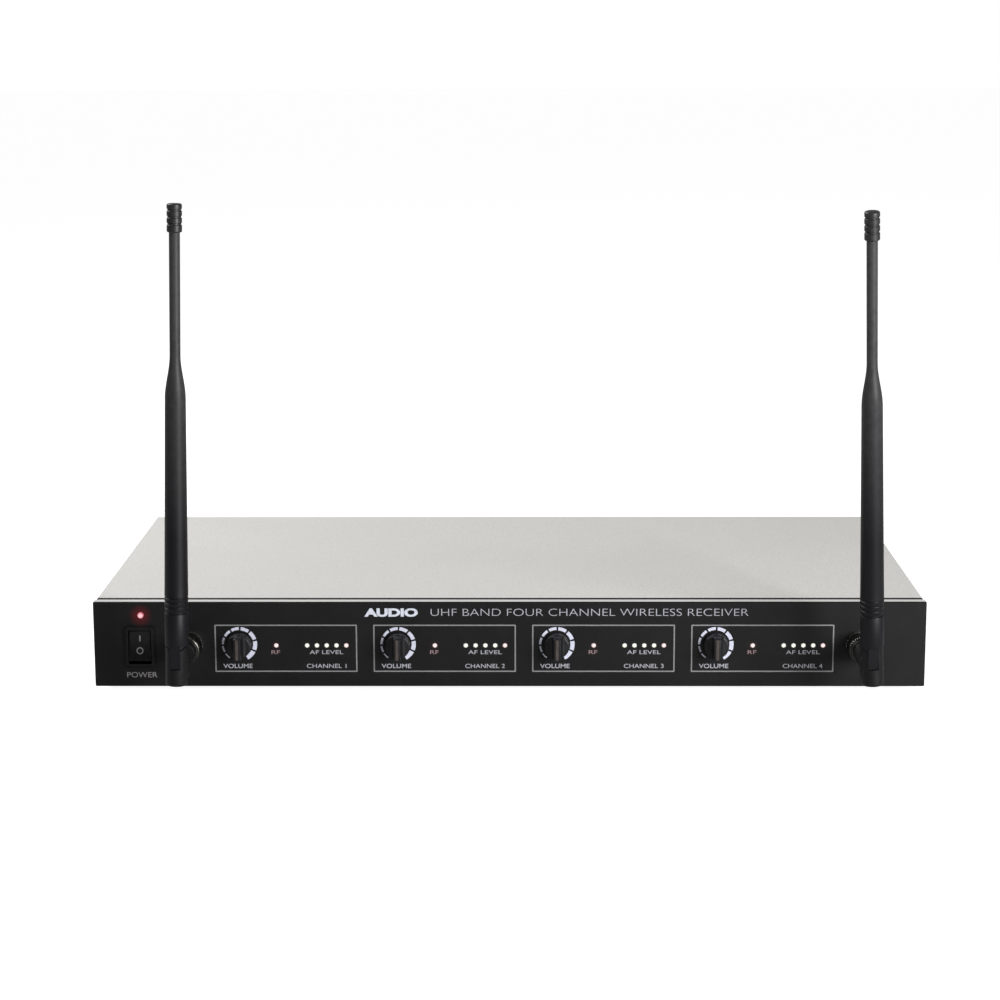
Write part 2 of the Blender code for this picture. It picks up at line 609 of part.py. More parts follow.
def antenna_fork(side, swivel):
    """The moulded elbow: a barrel towards the panel, and an upright fork for the whip."""
    round_bottom = 1.4 * MM
    profile = [(0, FORK_TOP), (FORK_RADIUS, FORK_TOP)]
    profile += arc((FORK_RADIUS - round_bottom, round_bottom - FORK_BOTTOM), round_bottom, 0, -90, 4)
    profile += [(0, -FORK_BOTTOM)]
    fork = part(f"antenna_elbow_{side}", turned("fork", profile), (0.025, 0.025, 0.027), 0.55, parent=swivel)
    web = (FORK_RADIUS - 0.4 * MM, 7.6 * MM, 6.8 * MM)
    join(fork, boxes(((-web[0], 0, -web[2]), (web[0], web[1], FORK_TOP - 0.1 * MM))))
    join(fork, rods((5.2 * MM, 3 * MM, 30 * MM), axis="Y"))
    cut(fork, rods((4.5 * MM, 26 * MM, 31 * MM), axis="Y"))
    slot = SLOT_WIDTH / 2
    slot_bottom = PIN_ABOVE_AXIS - TONGUE_RADIUS - GAP
    cut(fork, boxes(((-slot, -8 * MM, slot_bottom), (slot, TONGUE_RADIUS + GAP, FORK_TOP + 1 * MM))))
    swing = hypot(TONGUE_FRONT, TONGUE_RADIUS) + GAP
    cut(fork, rods((swing, -slot, slot), centre=(0, PIN_ABOVE_AXIS), axis="X"))
    cut(fork, rounded_front())
    bore = (PIN_RADIUS + 0.15 * MM, -8 * MM, 8 * MM)
    cut(fork, rods(bore, centre=(0, PIN_ABOVE_AXIS), axis="X", segments=16))


def rounded_front():
    """What comes off the front of the ears, so that they are round about the hinge pin."""
    radius = FORK_TOP - PIN_ABOVE_AXIS
    corner = arc((0, PIN_ABOVE_AXIS), radius, 90, 180, 6)
    beyond = -radius - 2 * MM
    above = FORK_TOP + 2 * MM
    shape = outline(corner + [(beyond, PIN_ABOVE_AXIS), (beyond, above), (0, above)], 16 * MM)
    side_on = Matrix(((0, 0, 1), (1, 0, 0), (0, 1, 0)))
    bmesh.ops.transform(shape, verts=shape.verts, matrix=side_on.to_4x4())
    return shape


def antenna_whip(side, hinge):
    """The moulded whip: a tongue for the fork, a collar, relief rings, a taper and a thin rod."""
    rings, pitch, groove = 3, 2.5 * MM, 0.35 * MM
    rod_top = WHIP_TOP - 4 * MM
    profile = [(0, rod_top), (ROD_RADIUS - 0.3 * MM, rod_top), (ROD_RADIUS, rod_top - 0.3 * MM)]
    steps = 6
    for i in range(steps + 1):
        blend = (1 - cos(pi * i / steps)) / 2
        radius = ROD_RADIUS + (TAPER_TOP_RADIUS - ROD_RADIUS) * blend
        profile.append((radius, ROD_START + (TAPER_TOP - ROD_START) * i / steps))
    taper_foot = COLLAR_TOP + 1.2 * MM + rings * pitch
    profile.append((COLLAR_RADIUS, taper_foot))
    for i in range(rings):
        top = taper_foot - i * pitch
        profile += [(COLLAR_RADIUS - groove, top - 0.5 * MM), (COLLAR_RADIUS, top - 1 * MM)]
        profile.append((COLLAR_RADIUS, top - pitch))
    profile += [(COLLAR_RADIUS - 0.7 * MM, COLLAR_TOP + 1 * MM), (COLLAR_RADIUS - 0.7 * MM, COLLAR_TOP)]
    profile += [(COLLAR_RADIUS, COLLAR_TOP - 0.2 * MM), (COLLAR_RADIUS, SHOULDER + 0.4 * MM)]
    profile += [(COLLAR_RADIUS - 0.4 * MM, SHOULDER), (0, SHOULDER)]
    shape = turned("whip", profile, 12)
    whip = part(f"antenna_whip_{side}", shape, (0.025, 0.025, 0.027), 0.6, parent=hinge)
    half = TONGUE_WIDTH / 2
    join(whip, boxes(((-half, -TONGUE_FRONT, -TONGUE_RADIUS), (half, 0, SHOULDER + 1 * MM))))
    join(whip, boxes(((-half, -1 * MM, 0), (half, TONGUE_RADIUS, SHOULDER + 1 * MM))))
    join(whip, rods((TONGUE_RADIUS, -half, half), axis="X"))
    cut(whip, rods((PIN_RADIUS + 0.3 * MM, -6 * MM, 6 * MM), axis="X", segments=16))


def whip_cap(side, hinge):
    """The ribbed cap on the whip's tip, hollow where the rod goes in."""
    bottom = WHIP_TOP - CAP_LENGTH
    ribs, pitch = 3, 3.4 * MM
    profile = [(0, WHIP_TOP)] + arc((CAP_RADIUS - 1 * MM, WHIP_TOP - 1 * MM), 1 * MM, 90, 0, 2)
    for i in range(ribs):
        top = WHIP_TOP - 2.6 * MM - i * pitch
        profile += [(CAP_RADIUS, top), (CAP_RADIUS - 0.4 * MM, top - 0.3 * MM)]
        profile += [(CAP_RADIUS - 0.4 * MM, top - 1 * MM), (CAP_RADIUS, top - 1.3 * MM)]
    profile += [(CAP_RADIUS, bottom + 0.4 * MM), (CAP_RADIUS - 0.4 * MM, bottom), (0, bottom)]
    cap = part(f"whip_cap_{side}", turned("cap", profile, 12), (0.02, 0.02, 0.02), 0.5, parent=hinge)
    cut(cap, rods((ROD_RADIUS + GAP, bottom - 1 * MM, WHIP_TOP - 4 * MM + GAP)))


def antenna(side):
    antenna_socket(side)
    antenna_coupling(side)
    place = (SOCKET_X[side], PANEL_FRONT_Y - ANTENNA_REACH, SOCKET_Z)
    lean = (0, radians(ANTENNA_LEAN[side]), 0)
    swivel = placed(f"swivel_axis_{side}", None, PARTS, location=place, rotation=lean)
    tilt = (radians(WHIP_TILT[side]), 0, 0)
    pin_place = (0, 0, PIN_ABOVE_AXIS)
    hinge = placed(f"hinge_axis_{side}", None, PARTS, location=pin_place, rotation=tilt, parent=swivel)
    antenna_plug(side, swivel)
    antenna_fork(side, swivel)
    pin = rods((PIN_RADIUS, -FORK_RADIUS + 0.3 * MM, FORK_RADIUS - 0.3 * MM), axis="X", segments=16)
    part(f"hinge_pin_{side}", pin, (0.3, 0.3, 0.3), 0.3, 1, parent=swivel, location=pin_place)
    antenna_whip(side, hinge)
    whip_cap(side, hinge)


def xlr_outputs():
    """A male output for each channel: a flange on the back, a shell and three pins."""
    for channel in range(CHANNELS):
        place = (XLR_1_X - channel * XLR_PITCH, REAR_Y, REAR_Z)
        flange = boxes(((-12 * MM, -14.5 * MM, GAP), (12 * MM, 14.5 * MM, 1.6 * MM)))
        name = f"xlr_output_{channel + 1}"
        output = part(name, flange, (0.6, 0.6, 0.58), 0.3, 1, location=place, rotation=BACKWARD)
        bevelled(output, 0.5 * MM)
        join(output, rods((10.6 * MM, -20 * MM, 1 * MM), segments=20))
        cut(output, rods((8.4 * MM, -15.5 * MM, 3 * MM), segments=20))
        pins = bmesh.new()
        for angle in (90, 210, 330):
            centre = (4 * MM * cos(radians(angle)), 4 * MM * sin(radians(angle)))
            rod(pins, 1.2 * MM, -16.5 * MM, -4.5 * MM, centre, segments=8)
        join(output, pins)


def mix_output_jack():
    """A 6.35 mm jack: its threaded bush with a ring nut outside, and its body inside."""
    place = (MIX_JACK_X, REAR_Y, REAR_Z)
    bush = rods((4.7 * MM, -4 * MM, 3.6 * MM))
    jack = part("mix_output_jack", bush, (0.05, 0.05, 0.05), 0.4, location=place, rotation=BACKWARD)
    join(jack, rods((8.2 * MM, GAP, 2 * MM)))
    join(jack, boxes(((-8 * MM, -8 * MM, -26 * MM), (8 * MM, 8 * MM, -1.8 * MM))))
    cut(jack, rods((3.3 * MM, -24 * MM, 5 * MM)))


def dc_inlet():
    """The power inlet: a round mouth with a centre pin, and its body inside."""
    place = (DC_INLET_X, REAR_Y, REAR_Z)
    mouth = rods((4 * MM, -4 * MM, 1.5 * MM))
    inlet = part("dc_inlet", mouth, (0.03, 0.03, 0.03), 0.5, location=place, rotation=BACKWARD)
    join(inlet, rods((5.6 * MM, GAP, 1.5 * MM)))
    join(inlet, boxes(((-5 * MM, -6 * MM, -13 * MM), (5 * MM, 6 * MM, -1.8 * MM))))
    cut(inlet, rods((3 * MM, -10 * MM, 3 * MM)))
    join(inlet, rods((1 * MM, -10.5 * MM, 0.5 * MM), segments=8))


def inner_leads():
    """A coaxial lead from each socket to the tuners, and the ribbon between the two boards."""
    board_top = BOARD_Z + BOARD_SHEET + 1.6 * MM
    socket_back = PANEL_FRONT_Y + 14 * MM + GAP
    for side, inward in (("left", 1), ("right", -1)):
        x = SOCKET_X[side]
        end = (x + inward * 9 * MM, PANEL_FRONT_Y + 58 * MM, board_top)
        leaving = (x, socket_back + 22 * MM, SOCKET_Z)
        arriving = (end[0], end[1] - 24 * MM, board_top + 1 * MM)
        route = bent((x, socket_back, SOCKET_Z), leaving, arriving, end)
        cable(f"antenna_coax_{side}", route, 1.2 * MM, (0.05, 0.05, 0.05))
    ribbon_cable()


def ribbon_cable():
    """A flat ribbon, drawn from the side and swept to its width."""
    width, sheet = 26 * MM, 0.9 * MM
    start = (PANEL_FRONT_Y + 12 * MM + BOARD_SHEET + GAP, PANEL_Z + 30 * MM)
    end = (PANEL_FRONT_Y + 36 * MM, BOARD_Z + BOARD_SHEET + GAP)
    route = bent((*start, 0), (start[0] + 12 * MM, start[1], 0), (end[0], end[1] + 12 * MM, 0), (*end, 0), 8)
    normals = [Vector((b.y - a.y, a.x - b.x, 0)).normalized() for a, b in zip(route, route[1:])]
    normals = [normals[0]] + normals
    far = [point + normal * sheet for point, normal in zip(route, normals)]
    shape = outline([(p.x, p.y) for p in route + far[::-1]], width)
    side_on = Matrix(((0, 0, 1), (1, 0, 0), (0, 1, 0)))
    bmesh.ops.transform(shape, verts=shape.verts, matrix=side_on.to_4x4())
    part("ribbon_cable", shape, (0.4, 0.4, 0.42), 0.6)


front_panel()
chassis_tray()
top_cover()
rear_panel()
feet()
main_board()
front_board()
tuner_cans()
volume_controls()
light_guides()
power_led()
power_switch()
for antenna_side in SOCKET_X:
    antenna(antenna_side)
xlr_outputs()
mix_plate()
mix_output_jack()
dc_inlet()
inner_leads()
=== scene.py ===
"""The looks of a four-channel wireless microphone receiver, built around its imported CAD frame.

Everything is in the frame's own metres: +X right, +Y back, +Z up. Places come from the CAD
nodes and joints, and sizes are given in millimetres through MM.
"""

import json

from math import cos, pi, radians, sin

import bmesh
import bpy
from mathutils import Matrix, Vector


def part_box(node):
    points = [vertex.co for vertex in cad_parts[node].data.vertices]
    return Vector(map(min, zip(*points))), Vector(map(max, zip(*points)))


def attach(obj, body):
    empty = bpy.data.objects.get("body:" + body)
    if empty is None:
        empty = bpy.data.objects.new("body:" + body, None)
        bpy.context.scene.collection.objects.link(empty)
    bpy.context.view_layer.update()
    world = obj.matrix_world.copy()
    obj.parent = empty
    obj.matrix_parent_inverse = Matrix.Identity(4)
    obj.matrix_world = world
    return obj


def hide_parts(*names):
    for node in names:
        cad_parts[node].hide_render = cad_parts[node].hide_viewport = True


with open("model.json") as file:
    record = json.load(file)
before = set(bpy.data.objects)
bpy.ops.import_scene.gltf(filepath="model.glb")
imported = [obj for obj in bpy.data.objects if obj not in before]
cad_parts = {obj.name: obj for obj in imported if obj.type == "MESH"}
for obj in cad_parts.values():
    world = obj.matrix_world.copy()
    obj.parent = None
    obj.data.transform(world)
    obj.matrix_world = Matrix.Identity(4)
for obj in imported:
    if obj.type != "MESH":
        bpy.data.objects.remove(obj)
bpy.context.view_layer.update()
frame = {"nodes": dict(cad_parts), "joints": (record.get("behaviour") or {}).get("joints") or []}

MM = 0.001
ROOT = "receiver"
FACING_FRONT = Matrix.Rotation(pi / 2, 4, "X")
FACING_BACK = Matrix.Rotation(-pi / 2, 4, "X")
ON_BACK = Matrix.Rotation(pi, 4, "Z") @ FACING_FRONT
SIDES = ("left", "right")
CHANNELS = (1, 2, 3, 4)

JOINTS = {joint["name"]: joint for joint in frame["joints"]}
PANEL_LOW, PANEL_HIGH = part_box("front_panel")
COVER_LOW, COVER_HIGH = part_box("top_cover")
LIP_REACH = 4.4 * MM
COVER_FRONT = COVER_LOW.y + LIP_REACH
_, REAR_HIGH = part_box("rear_panel")
PRINT_LIFT = 0.03 * MM
PRINT_SHEET = 0.04 * MM
BLACK, BLACK_SHEEN, BLACK_ROUGHNESS = (0.004, 0.004, 0.0042), 0.16, 0.46
PIN_HEIGHT = 5.2 * MM
TONGUE_WIDTH = 4.8 * MM


# Shapes ---------------------------------------------------------------------------------


def bmesh_of(mesh):
    shape = bmesh.new()
    shape.from_mesh(mesh)
    return shape


def mesh_of(shape, name="piece"):
    mesh = bpy.data.meshes.new(name)
    shape.to_mesh(mesh)
    shape.free()
    return mesh


def piece(name, shape, look, body=ROOT, place=None, replaces=(), sharp=35, soften=0):
    """Puts a bmesh in the scene as a finished piece that rides on a CAD body."""
    if place is not None:
        bmesh.ops.transform(shape, matrix=place, verts=shape.verts)
    mesh = mesh_of(shape, name)
    made = bpy.data.objects.new(name, mesh)
    bpy.context.scene.collection.objects.link(made)
    mesh.materials.append(look)
    if soften:
        edges = made.modifiers.new("edges", "BEVEL")
        edges.width = soften
        edges.segments = 2
        edges.limit_method = "ANGLE"
        edges.angle_limit = radians(sharp)
        edges.harden_normals = False
    mesh.shade_smooth()
    mesh.set_sharp_from_angle(angle=radians(sharp))
    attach(made, body)
    if replaces:
        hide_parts(*replaces)
    return made


def boxes(*corners):
    shape = bmesh.new()
    for low, high in corners:
        low, high = Vector(low), Vector(high)
        size = Matrix.Diagonal((*(high - low), 1))
        bmesh.ops.create_cube(shape, size=1, matrix=Matrix.Translation((low + high) / 2) @ size)
    return shape


def rod(radius, start, end, axis="Z", centre=(0, 0), segments=48):
    """A cylinder along an axis, with its centre on the other two."""
    turns = {"Z": Matrix(), "X": Matrix.Rotation(pi / 2, 4, "Y"), "Y": Matrix.Rotation(-pi / 2, 4, "X")}
    middle = list(centre)
    middle.insert("XYZ".index(axis), (start + end) / 2)
    shape = bmesh.new()
    bmesh.ops.create_cone(
        shape,
        cap_ends=True,
        segments=segments,
        radius1=radius,
        radius2=radius,
        depth=end - start,
        matrix=Matrix.Translation(middle) @ turns[axis],
    )
    return shape


def turned(profile, steps=64):
    """A solid turned about Z from (radius, height) points."""
    shape = bmesh.new()
    points = [shape.verts.new((radius, 0, height)) for radius, height in profile]
    lines = [shape.edges.new(pair) for pair in zip(points, points[1:])]
    bmesh.ops.spin(shape, geom=points + lines, axis=(0, 0, 1), cent=(0, 0, 0), angle=2 * pi, steps=steps)
    bmesh.ops.remove_doubles(shape, verts=shape.verts, dist=1e-7)
    bmesh.ops.recalc_face_normals(shape, faces=shape.faces)
    return shape


def arc(centre, radius, start, end, steps=6):
    """Points on an arc, by angle in degrees from the first axis."""
    angles = [radians(start + (end - start) * i / steps) for i in range(steps + 1)]
    return [(centre[0] + radius * cos(a), centre[1] + radius * sin(a)) for a in angles]


def flat(loops, thickness):
    """A plate in XY with these outlines. An outline inside another is a hole in it."""
    curve = bpy.data.curves.new("outline", "CURVE")
    curve.dimensions = "2D"
    curve.fill_mode = "BOTH"
    curve.extrude = thickness / 2
    for loop in loops:
        line = curve.splines.new("POLY")
        line.points.add(len(loop) - 1)
        for point, (x, y) in zip(line.points, loop):
            point.co = (x, y, 0, 1)
        line.use_cyclic_u = True
    return evaluated(bpy.data.objects.new("outline", curve))


def evaluated(thing):
    """The bmesh of an object as its modifiers leave it. The object is removed."""
    bpy.context.scene.collection.objects.link(thing)
    bpy.context.view_layer.update()
    seen = thing.evaluated_get(bpy.context.evaluated_depsgraph_get())
    shape = bmesh_of(bpy.data.meshes.new_from_object(seen))
    bmesh.ops.remove_doubles(shape, verts=shape.verts, dist=1e-7)
    bpy.data.objects.remove(thing)
    return shape


def combined(shape, tool, operation):
    """One bmesh cut by, joined to or kept inside another."""
    base = bpy.data.objects.new("base", mesh_of(shape))
    other = bpy.data.objects.new("tool", mesh_of(tool))
    bpy.context.scene.collection.objects.link(other)
    modifier = base.modifiers.new("boolean", "BOOLEAN")
    modifier.operation = operation
    modifier.object = other
    done = evaluated(base)
    bpy.data.objects.remove(other)
    return done


def cut(shape, *tools):
    for tool in tools:
        shape = combined(shape, tool, "DIFFERENCE")
    return shape


def joined(shape, *tools):
    for tool in tools:
        shape = combined(shape, tool, "UNION")
    return shape


def turned_over(shape, matrix):
    bmesh.ops.transform(shape, matrix=matrix, verts=shape.verts)
    return shape


def rounded_rectangle(width, height, radius):
    corners = ((1, 1, 0), (-1, 1, 90), (-1, -1, 180), (1, -1, 270))
    points = []
    for x, y, angle in corners:
        middle = (x * (width / 2 - radius), y * (height / 2 - radius))
        points += arc(middle, radius, angle, angle + 90, 5)
    return points


def fluted(shape, low, high, ribs, depth):
    """Presses ribs into the outer side of a turned shape between two heights."""
    for vertex in shape.verts:
        if low < vertex.co.z < high:
            radius = vertex.co.to_2d().length
            angle = Vector((1, 0)).angle_signed(vertex.co.to_2d())
            share = 1 - depth * (1 + cos(ribs * angle)) / 2 / radius
            vertex.co.x *= share
            vertex.co.y *= share
    return shape


# Materials ------------------------------------------------------------------------------


class Look:
    """A Principled material with its nodes within reach."""

    def __init__(self, name, colour, roughness, metallic=0.0, **constants):
        self.material = bpy.data.materials.new(name)
        self.material.use_nodes = True
        self.tree = self.material.node_tree
        self.shader = self.tree.nodes["Principled BSDF"]
        self.colour = colour
        self.roughness = roughness
        self.shader.inputs["Base Color"].default_value = (*colour, 1)
        self.shader.inputs["Roughness"].default_value = roughness
        self.shader.inputs["Metallic"].default_value = metallic
        for socket, value in constants.items():
            self.shader.inputs[socket.replace("_", " ")].default_value = value
        self.place = self.node("ShaderNodeTexCoord").outputs["Object"]

    def node(self, kind, **settings):
        made = self.tree.nodes.new(kind)
        for name, value in settings.items():
            if name in made.inputs:
                made.inputs[name].default_value = value
            else:
                setattr(made, name, value)
        return made

    def link(self, output, target):
        self.tree.links.new(output, target)

    def noise(self, scale, detail=3.0, stretch=None):
        made = self.node("ShaderNodeTexNoise", Scale=scale, Detail=detail)
        place = self.place
        if stretch:
            mapping = self.node("ShaderNodeMapping", Scale=stretch)
            self.link(place, mapping.inputs["Vector"])
            place = mapping.outputs["Vector"]
        self.link(place, made.inputs["Vector"])
        return made.outputs["Fac"]

    def mapped(self, value, low, high, start=0.3, end=0.7):
        made = self.node("ShaderNodeMapRange")
        for socket, number in zip(("From Min", "From Max", "To Min", "To Max"), (start, end, low, high)):
            made.inputs[socket].default_value = number
        self.link(value, made.inputs["Value"])
        return made.outputs["Result"]

    def mixed(self, share, first, second):
        made = self.node("ShaderNodeMix", data_type="RGBA")
        self.link(share, made.inputs["Factor"])
        for socket, colour in ((6, first), (7, second)):
            if isinstance(colour, tuple):
                made.inputs[socket].default_value = (*colour, 1)
            else:
                self.link(colour, made.inputs[socket])
        return made.outputs[2]

    def varied(self, scale, amount, roughness=0.0):
        """Lets the colour and the roughness drift by a share of themselves."""
        drift = self.noise(scale, 4.0)
        darker = tuple(c * (1 - amount) for c in self.colour)
        lighter = tuple(min(1.0, c * (1 + amount)) for c in self.colour)
        share = self.mapped(drift, 0, 1)
        self.link(self.mixed(share, darker, lighter), self.shader.inputs["Base Color"])
        if roughness:
            spread = self.mapped(drift, self.roughness - roughness, self.roughness + roughness)
            self.link(spread, self.shader.inputs["Roughness"])
        return self

    def grained(self, scale, strength, depth=0.05 * MM):
        """Raises a fine grain on the surface."""
        bump = self.node("ShaderNodeBump", Strength=strength, Distance=depth)
        self.link(self.noise(scale, 2.0), bump.inputs["Height"])
        self.link(bump.outputs["Normal"], self.shader.inputs["Normal"])
        return self


def plain(
    name, colour, roughness, metallic=0.0, drift=400, amount=0.15, grain=2500, strength=0.25, **constants
):
    """A moulded or plated surface: a slow drift of tone and a fine grain."""
    look = Look(name, colour, roughness, metallic, **constants)
    look.varied(drift, amount, roughness * 0.15)
    look.grained(grain, strength)
    return look.material


def below(look, axis, limit):
    """1 where a piece's own coordinate is below a limit, and 0 elsewhere."""
    axes = look.node("ShaderNodeSeparateXYZ")
    look.link(look.place, axes.inputs["Vector"])
    side = look.node("ShaderNodeMath", operation="LESS_THAN")
    side.inputs[1].default_value = limit
    look.link(axes.outputs[axis], side.inputs[0])
    return side.outputs["Value"]


def cover_paint():
    """Light warm grey paint with a fine texture. Its front strip in the seam is painted black, as painted
    shade of the gap between the rim and the cover.
    """
    look = Look("cover_paint", (0.5, 0.49, 0.47), 0.55, Specular_IOR_Level=0.25)
    slow = look.mapped(look.noise(9, 2.0), 0, 1, 0.35, 0.65)
    base = look.mixed(slow, (0.425, 0.418, 0.402), (0.452, 0.443, 0.427))
    specks = look.mapped(look.noise(1400, 2.0), 0, 1, 0.42, 0.62)
    toned = look.mixed(specks, (0.37, 0.362, 0.348), base)
    # Painted shade: the cover's strip just behind the rim is near-black to stand for the seam's shadowed gap.
    seam_shade_mask = below(look, "Y", COVER_FRONT + 0.8 * MM)
    look.link(look.mixed(seam_shade_mask, toned, (0.004, 0.004, 0.004)), look.shader.inputs["Base Color"])
    look.link(look.mapped(look.noise(1100, 2.0), 0.5, 0.64), look.shader.inputs["Roughness"])
    return look.grained(1700, 0.35, 0.06 * MM).material


def panel_finish():
    """Satin black on the face, and plain light metal where the rim and its edges are bare."""
    look = Look("panel_finish", BLACK, 0.33, Specular_IOR_Level=BLACK_SHEEN)
    face = below(look, "Y", PANEL_LOW.y + 0.5 * MM)
    drift = look.mapped(look.noise(60, 3.0), 0, 1)
    black = look.mixed(drift, (0.0032, 0.0032, 0.0033), (0.005, 0.005, 0.0054))
    brushed = look.mapped(look.noise(900, 3.0, (0.02, 1, 1)), 0, 1)
    metal = look.mixed(brushed, (0.48, 0.475, 0.465), (0.56, 0.555, 0.54))
    look.link(look.mixed(face, metal, black), look.shader.inputs["Base Color"])
    look.link(look.mapped(face, 0.3, 0.0, 0, 1), look.shader.inputs["Metallic"])
    look.link(look.mapped(face, 0.38, BLACK_ROUGHNESS, 0, 1), look.shader.inputs["Roughness"])
    return look.grained(2600, 0.12, 0.02 * MM).material


def ink(name, colour):
    """Screen printing: matt, and a little uneven in tone."""
    return Look(name, colour, 0.6).varied(900, 0.12).material


def antenna_rubber():
    """Moulded black rubber, made lighter towards the thin end by painted light that stands in for glare on
    the upper rod.
    """
    dark, pale = (0.0035, 0.0035, 0.0046), (0.032, 0.032, 0.033)
    look = Look("antenna_rubber", dark, BLACK_ROUGHNESS, Specular_IOR_Level=BLACK_SHEEN)
    axes = look.node("ShaderNodeSeparateXYZ")
    look.link(look.place, axes.inputs["Vector"])
    patches = look.mapped(look.noise(300, 3.0), 0.75, 1.25)
    # Painted light: the colour lifts with height from 90 mm to 205 mm, in noise patches, standing in for
    # glare on the upper rod.
    height = look.mapped(axes.outputs["Z"], 0, 1, 90 * MM, 205 * MM)
    painted_glare = look.node("ShaderNodeMath", operation="MULTIPLY")
    look.link(patches, painted_glare.inputs[0])
    look.link(height, painted_glare.inputs[1])
    share = painted_glare.outputs["Value"]
    look.link(look.mixed(share, dark, pale), look.shader.inputs["Base Color"])
    return look.grained(3200, 0.35, 0.03 * MM).material


def circuit_board():
    """Green solder mask over copper tracks, with rows of pads."""
    look = Look("circuit_board", (0.01, 0.12, 0.05), 0.35)
    bricks = look.node("ShaderNodeTexBrick", Scale=120.0)
    bricks.inputs["Color1"].default_value = (0.008, 0.11, 0.045, 1)
    bricks.inputs["Color2"].default_value = (0.012, 0.16, 0.07, 1)
    bricks.inputs["Mortar"].default_value = (0.03, 0.26, 0.11, 1)
    look.link(look.place, bricks.inputs["Vector"])
    look.link(bricks.outputs["Color"], look.shader.inputs["Base Color"])
    return look.grained(700, 0.3).material


def ribbon():
    look = Look("ribbon_cable", (0.36, 0.36, 0.38), 0.55)
    waves = look.node("ShaderNodeTexWave", bands_direction="X", Scale=250.0)
    look.link(look.place, waves.inputs["Vector"])
    share = waves.outputs["Fac"]
    look.link(look.mixed(share, (0.22, 0.22, 0.24), (0.42, 0.42, 0.44)), look.shader.inputs["Base Color"])
    return look.grained(900, 0.2).material


def from_middle(look):
    """1 at the middle of a piece's own box across X and Z, falling to 0 at its rim."""
    place = look.node("ShaderNodeTexCoord").outputs["Generated"]
    level = look.node("ShaderNodeMapping")
    level.inputs["Location"].default_value = (-0.5, 0, -0.5)
    level.inputs["Scale"].default_value = (1, 0, 1)
    look.link(place, level.inputs["Vector"])
    length = look.node("ShaderNodeVectorMath", operation="LENGTH")
    look.link(level.outputs["Vector"], length.inputs[0])
    return look.mapped(length.outputs["Value"], 1, 0, 0, 0.5)


def raised(look, value, power):
    made = look.node("ShaderNodeMath", operation="POWER")
    made.inputs[1].default_value = power
    look.link(value, made.inputs[0])
    return made.outputs["Value"]


def lamp_lens(name, core, rim, strength):
    """A lit lens: nearly white in the middle, its own colour round the edge."""
    look = Look(name, (0.02, 0.02, 0.02), 0.2)
    share = raised(look, from_middle(look), 0.45)
    look.link(look.mixed(share, rim, core), look.shader.inputs["Emission Color"])
    look.shader.inputs["Emission Strength"].default_value = strength
    return look.material


def lamp_glow(name, colour, strength):
    """Painted glow: the panel's own black, with emitted light laid on it round the lamp, fading outwards."""
    look = Look(name, BLACK, BLACK_ROUGHNESS, Specular_IOR_Level=BLACK_SHEEN)
    share = raised(look, from_middle(look), 1.3)
    look.link(look.mixed(share, (0, 0, 0), colour), look.shader.inputs["Emission Color"])
    look.shader.inputs["Emission Strength"].default_value = strength
    return look.material


